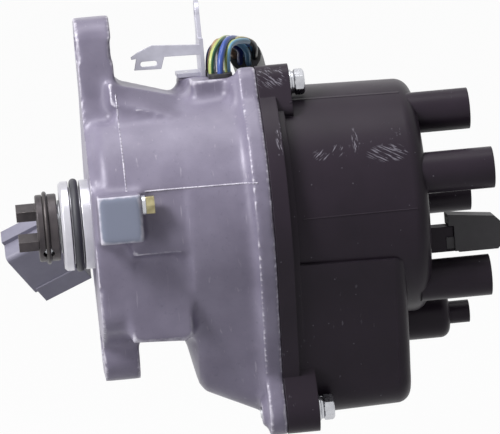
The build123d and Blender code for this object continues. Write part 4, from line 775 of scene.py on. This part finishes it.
@dataclass
class CapScrews:
    """The three hexagon screws that hold the cap, each on a spring washer and a flat washer."""

    places: tuple[Pair, ...] = ((-15.0, 45.3), (-25.0, -69.8), (47.6, -4.0))
    seat_x: float = 73.5
    heights: tuple[float, ...] = (3.6, 3.8, 3.8)
    flat_washer: Pair = (4.6, 0.9)       # radius and thickness
    spring_washer: Pair = (4.0, 1.0)
    washer_bores: Pair = (2.6, 2.65)
    split_thickness: float = 0.87
    half_flats: float = 4.0
    shank_r: float = 2.45
    tip_x: float = 53.1
    pitch: float = 0.8
    thread_depth: float = 0.28

    def hexagon(self, along: np.ndarray, radius: np.ndarray, angle: np.ndarray) -> np.ndarray:
        """Cut a turned blank to six flats: the lesser of its radius and half the flats over the cosine."""
        off = (angle + np.pi / 6) % (np.pi / 3) - np.pi / 6
        return np.minimum(radius, self.half_flats / np.cos(off))

    def thread(self, along: np.ndarray, radius: np.ndarray, angle: np.ndarray) -> np.ndarray:
        """Cut a screw line: the radius falls and rises once a pitch, and starts later round the axis."""
        phase = (along / self.pitch - angle / (2 * np.pi)) % 1.0
        return radius - self.thread_depth * (1 - np.abs(2 * phase - 1)) * (radius > 1.5)

    def screw(self, place: Pair, height: float) -> bpy.types.Mesh:
        """Make one screw: threaded shank, then the head with its chamfer and its dished top."""
        base = self.seat_x + self.flat_washer[1] + self.spring_washer[1]
        top = base + height
        shank = [(self.tip_x, 0.4), (self.tip_x, self.shank_r - 0.6)]
        shank += [(x, self.shank_r) for x in np.arange(self.tip_x + 0.5, base + 0.05, 0.1)]
        wide = self.half_flats / math.cos(math.pi / 6)
        head = [(base, 0.4), (base, self.half_flats - 0.1), (base + 0.35, wide), (top - 0.9, wide),
                (top - 0.6, wide - 0.12), (top - 0.3, wide - 0.36), (top, self.half_flats - 0.25),
                (top - 0.05, self.half_flats - 0.8), (top - 0.6, self.half_flats - 1.35), (top - 0.8, 0.4)]
        return join_meshes("cap_screw", [
            grid_mesh("shank", turned(shank, place, 40, self.thread)),
            grid_mesh("head", turned(head, place, 96, self.hexagon), crease=25.0)])

    def washers(self, place: Pair) -> bpy.types.Mesh:
        """Make a flat washer with a soft rim, and a split ring that climbs as it goes round.

        The split ring's section is a rounded square carried round the axis. Its place along the axis grows
        evenly with the angle, so that its two ends stand apart.
        """
        x, (r, thick) = self.seat_x, self.flat_washer
        (bore, split_bore), thin = self.washer_bores, self.split_thickness
        flat = [(x + 0.02, bore), (x + 0.02, r - 0.2), (x + 0.2, r), (x + thick - 0.2, r),
                (x + thick, r - 0.25), (x + thick, bore)]
        outer, depth = self.spring_washer
        x += thick
        turn = np.linspace(math.radians(100), math.radians(448), 70)[:, None]
        corner = np.array([(0.0, split_bore), (0.0, outer - 0.12), (0.12, outer), (thin - 0.12, outer),
                           (thin, outer - 0.12), (thin, split_bore)])
        climb = (turn - turn[0]) / (turn[-1] - turn[0]) * (depth - thin)
        radius = corner[None, :, 1] + 0 * turn
        ring = np.stack([x + corner[None, :, 0] + climb, place[0] + radius * np.cos(turn),
                         place[1] + radius * np.sin(turn)], axis=-1) * MM
        return join_meshes("cap_washers", [
            grid_mesh("flat", turned(flat, place, 72), round_rows=True), grid_mesh("split", ring)])

    def build(self) -> None:
        """Make the three screws and their washers in place of the plain solids."""
        screws = [self.screw(place, height) for place, height in zip(self.places, self.heights)]
        rings = [self.washers(place) for place in self.places]
        add_piece(join_meshes("hexagon_cap_screws", screws), ZINC_STEEL, "cap_screws")
        add_piece(join_meshes("cap_screw_rings", rings), ZINC_STEEL, "cap_screw_washers")


@dataclass
class BrushSpring:
    """The coil spring behind the carbon brush; in the real part the brush presses it together as it slides
    in.
    """

    start_x: float = 107.95
    end_x: float = 111.75
    fixed_x: float = 112.0
    coil_r: float = 1.6
    wire_r: float = 0.25
    coils: int = 5
    travel: float = 0.8

    def build(self) -> None:
        """Carry the wire's circle along the coil.

        At each angle the wire's middle lies at radius coil_r and at an x that grows evenly with the angle.
        The circle lies in the plane of the outward direction and of the one square to it and to the coil.
        """
        turn = np.linspace(0, 2 * np.pi * self.coils, 24 * self.coils + 1)[:, None, None]
        around = np.linspace(0, 2 * np.pi, 10, endpoint=False)[None, :, None]
        zero = np.zeros_like(turn)
        out = np.concatenate([zero, np.cos(turn), np.sin(turn)], axis=-1)
        rise = (self.end_x - self.start_x) / turn.max()
        ahead = np.concatenate([zero + rise, -self.coil_r * np.sin(turn), self.coil_r * np.cos(turn)],
                               axis=-1)
        side = np.cross(ahead / np.linalg.norm(ahead, axis=-1, keepdims=True), out)
        middle = np.concatenate([self.start_x + rise * turn, zero, zero], axis=-1) + self.coil_r * out
        points = middle + self.wire_r * (np.cos(around) * out + np.sin(around) * side)
        wire = grid_mesh("coil_wire", points * MM)
        spring = add_piece(join_meshes("brush_coil_spring", [wire]), SPRING_WIRE, "brush_spring")
        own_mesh(spring)


# ---------------------------------------------------------------- harness


@dataclass
class Harness:
    """The eight wires and the sleeve that gathers them; the connector on its end stays a dressed solid."""

    wire_r: float = 1.1 * MM
    sleeve_r: float = 5.8 * MM
    wire_routes_mm: list[list[Point]] = field(default_factory=lambda: [
        [(47.2, -6.0, 50.2), (47.2, -6.0, 56.0), (52.0, 2.5, 61.4), (56.5, 16.1, 60.6),
         (59.0, 22.2, 56.2), (60.2, 29.3, 54.2)],
        [(47.2, 2.0, 50.2), (47.2, 2.0, 54.8), (51.0, 9.1, 61.1), (54.6, 16.9, 57.9),
         (57.7, 21.6, 53.4), (58.9, 28.7, 51.4)],
        [(47.2, 9.5, 50.2), (47.2, 9.5, 56.7), (52.4, 11.1, 60.2), (59.8, 14.0, 56.9),
         (59.1, 20.6, 50.8), (60.3, 27.8, 48.8)],
        [(50.2, -9.5, 50.2), (50.2, -9.5, 55.0), (53.9, -1.2, 62.2), (60.8, 14.8, 59.4),
         (62.0, 21.9, 57.0), (63.2, 29.0, 55.0)],
        [(50.2, -2.0, 50.2), (50.2, -2.0, 56.0), (53.2, 6.1, 61.9), (58.1, 16.4, 58.8),
         (61.3, 21.1, 53.6), (62.5, 28.2, 51.6)],
        [(50.2, 6.0, 50.2), (50.2, 6.0, 57.3), (55.9, 8.6, 60.8), (61.9, 13.2, 56.4),
         (62.1, 20.0, 50.3), (63.3, 27.1, 48.3)],
        [(53.0, -6.0, 50.2), (53.0, -6.0, 56.8), (56.0, -0.3, 60.6), (63.8, 11.9, 59.0),
         (64.4, 21.0, 55.3), (65.6, 28.1, 53.3)],
        [(53.0, 2.0, 50.2), (53.0, 2.0, 56.6), (57.3, 4.5, 61.4), (65.0, 12.6, 58.2),
         (64.5, 20.2, 52.3), (65.7, 27.3, 50.3)],
    ])
    wire_lengths_mm: tuple[float, ...] = (48.7, 40.1, 36.2, 50.0, 43.7, 38.0, 47.4, 39.5)
    sleeve_route_mm: list[Point] = field(default_factory=lambda: [
        (61.5, 22.5, 53.2), (64.2, 38.5, 48.6), (66.0, 50.5, 32.0), (61.5, 57.0, 20.5), (52.0, 61.0, 12.0),
        (38.0, 63.5, 6.2), (19.99, 61.82, -0.65), (1.9, 67.5, -8.7),
    ])
    sleeve_length_mm: float = 121.0
    coats: tuple[Finish, ...] = (
        insulation("green", "#2F6444", "#24503A", "#4F8A66", "#B4BE6A"),
        insulation("peach", "#CDAA7C", "#B08D62", "#E0C49C"),
        insulation("dark_blue", "#2A3C86", "#1F2E6B", "#4A5CA8"),
        insulation("blue", "#3152A6", "#26428A", "#5674C4"),
        insulation("white", "#D8D4D8", "#BDB8BE", "#EDEAED"),
        insulation("light_blue", "#8CC9EA", "#6FB0D2", "#B0DDF2"),
        insulation("sky_blue", "#86C4E8", "#6AA6CE", "#A8D8F0", "#B8C46C"),
        insulation("black", "#232227", "#19181C", "#45434A", "#D8CFA4"),
    )

    def tube(self, name: str, route: Sequence[Point], radius: float,
             coat: Finish) -> bpy.types.Object:
        """Make a cord: one open NURBS spline with the route's points, rounded to its radius.

        Args:
            name: The piece's name.
            route: The control points, in millimetres.
            radius: The cord's radius.
            coat: The finish of its skin.

        Returns:
            The curve object.
        """
        curve = bpy.data.curves.new(name, "CURVE")
        curve.dimensions = "3D"
        spline = curve.splines.new("NURBS")
        spline.points.add(len(route) - 1)
        for point, place in zip(spline.points, route):
            point.co = (*(c * MM for c in place), 1.0)
        spline.order_u = 3
        spline.use_endpoint_u = True
        spline.resolution_u = 12
        curve.bevel_depth = radius
        curve.bevel_resolution = 6
        curve.use_fill_caps = True
        curve.materials.append(coat.build())
        piece = new_object(name, curve)
        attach(piece, HOUSING)
        return piece

    def build(self) -> None:
        """Make the wires and the sleeve in place of their plain solids."""
        for number, (route, length, coat) in enumerate(
                zip(self.wire_routes_mm, self.wire_lengths_mm, self.coats), start=1):
            wire = self.tube(f"insulated_wire_{number}", route, self.wire_r, coat)
            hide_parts(f"wire_{number}")
        sleeve = self.tube("pvc_sleeve", self.sleeve_route_mm, self.sleeve_r, PVC_SLEEVE)
        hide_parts("harness_sleeve")


# ---------------------------------------------------------------- studio


@dataclass
class Studio:
    """Camera, lamps, world and floor."""

    azimuth: float = -3.6         # degrees round the object, seen from the near side
    elevation: float = 7.0
    roll: float = 4.9             # the object leans this much anticlockwise in the view
    target: Point = (0.05684, 0.0, -0.00291)
    distance: float = 1.4314
    lens_mm: float = 288.0
    lamps: tuple[tuple[str, Point, float, float], ...] = (   # place, size and watts
        ("key", (-0.42, -0.3, 0.5), 0.25, 4.8),
        ("top", (-0.05, -0.1, 1.2), 0.7, 6.0),
        ("left", (-1.2, -0.9, 0.15), 0.6, 5.8),
        ("fill", (0.7, -1.2, 0.3), 0.9, 0.15),
    )
    even_light: float = 0.04
    floor_z: float = -0.105
    floor_shade: str = "#A2A2A6"
    floor_glow: float = 0.97      # share of plain white in what shows of the floor; the rest holds the shadow
    white: str = "#FFFFFF"

    def camera(self) -> None:
        """Place the camera on its ray: back, right and up come from the two angles and the roll."""
        azimuth, elevation, roll = (math.radians(a) for a in (self.azimuth, self.elevation, self.roll))
        back = Vector((math.sin(azimuth) * math.cos(elevation), -math.cos(azimuth) * math.cos(elevation),
                       math.sin(elevation)))
        right = Vector((math.cos(azimuth), math.sin(azimuth), 0))
        up = back.cross(right)
        leaning_right = right * math.cos(roll) - up * math.sin(roll)
        leaning_up = up * math.cos(roll) + right * math.sin(roll)
        data = bpy.data.cameras.new("camera")
        data.lens = self.lens_mm
        data.sensor_width = 36.0
        data.clip_start = 0.05
        data.clip_end = 20.0
        camera = new_object("camera", data)
        turn = Matrix((leaning_right, leaning_up, back)).transposed().to_4x4()
        camera.matrix_world = Matrix.Translation(Vector(self.target) + back * self.distance) @ turn
        bpy.context.scene.camera = camera

    def lamp(self, name: str, place: Point, size: float, power: float) -> None:
        """Hang one square soft box that faces the object."""
        data = bpy.data.lights.new(name, "AREA")
        data.size = size
        data.energy = power
        lamp = new_object(name, data)
        lamp.location = place
        lamp.rotation_mode = "QUATERNION"
        lamp.rotation_quaternion = (Vector(place) - Vector(self.target)).to_track_quat("Z", "Y")

    def seen_white(self, tree: Tree) -> Socket:
        """Give 1 for rays from the camera, from gloss and through glass, and 0 for the rest."""
        path = add_node(tree, "LightPath")
        glossy = computed(tree, Sum.LARGER, path.outputs["Is Camera Ray"], path.outputs["Is Glossy Ray"])
        return computed(tree, Sum.LARGER, glossy, path.outputs["Is Transmission Ray"])

    def world(self) -> None:
        """Light the object evenly with pale grey, and show white behind it."""
        world = bpy.data.worlds.new("studio")
        bpy.context.scene.world = world
        world.use_nodes = True
        tree = world.node_tree
        tree.nodes.clear()
        light, shown = (
            add_node(tree, "Background", {"Color": linear(self.white), "Strength": strength})
            for strength in (self.even_light, 1.0))
        both = add_node(tree, "MixShader",
                        {0: self.seen_white(tree), 1: light.outputs[0], 2: shown.outputs[0]})
        add_node(tree, "OutputWorld", {"Surface": both.outputs[0]})

    def floor(self) -> None:
        """Lay a pale floor that keeps a faint shadow and otherwise shows white."""
        corners = np.array([(-1, -1, 0), (1, -1, 0), (1, 1, 0), (-1, 1, 0)]) * 6.0 + (0, 0, self.floor_z)
        mesh = bpy.data.meshes.new("floor")
        mesh.from_pydata(corners.tolist(), [], [(0, 1, 2, 3)])
        material = bpy.data.materials.new("painted_floor")
        material.use_nodes = True
        tree = material.node_tree
        tree.nodes.clear()
        matt = add_node(tree, "BsdfDiffuse", {"Color": linear(self.floor_shade)})
        glow = add_node(tree, "Emission", {"Color": linear(self.white), "Strength": 1.0})
        share = computed(tree, Sum.TIMES, self.seen_white(tree), self.floor_glow)
        both = add_node(tree, "MixShader", {0: share, 1: matt.outputs[0], 2: glow.outputs[0]})
        add_node(tree, "OutputMaterial", {"Surface": both.outputs[0]})
        mesh.materials.append(material)
        new_object("floor", mesh)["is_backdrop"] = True

    def build(self) -> None:
        """Set the view, the light and the floor."""
        self.camera()
        self.world()
        self.floor()
        for name, place, size, power in self.lamps:
            self.lamp(name, place, size, power)
        bpy.context.scene.view_settings.view_transform = "Standard"


def dress(finishes: dict[str, Finish]) -> None:
    """Give every solid that stays its finish.

    Args:
        finishes: Node name to finish.
    """
    for name, finish in finishes.items():
        solid = bpy.data.objects[name]
        for slot in solid.material_slots:
            slot.material = finish.build()
        if not solid.material_slots:
            solid.data.materials.append(finish.build())
        LOG.info("%s is %s", name, finish.name)


def corners() -> list[list[float]]:
    """Give the object's lowest and highest corner as plain lists."""
    return [list(corner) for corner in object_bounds()]


def main() -> None:
    """Load the frame, dress it, add the pieces and set the studio."""
    logging.basicConfig(level=logging.INFO, format="%(name)s: %(message)s")
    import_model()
    Studio().build()
    dress(NODE_FINISHES)
    Harness().build()
    casting = Casting().build()
    CapScrews().build()
    BrushSpring().build()
    Seams().build(casting, bpy.data.objects["cap"])


if __name__ == "__main__":
    main()
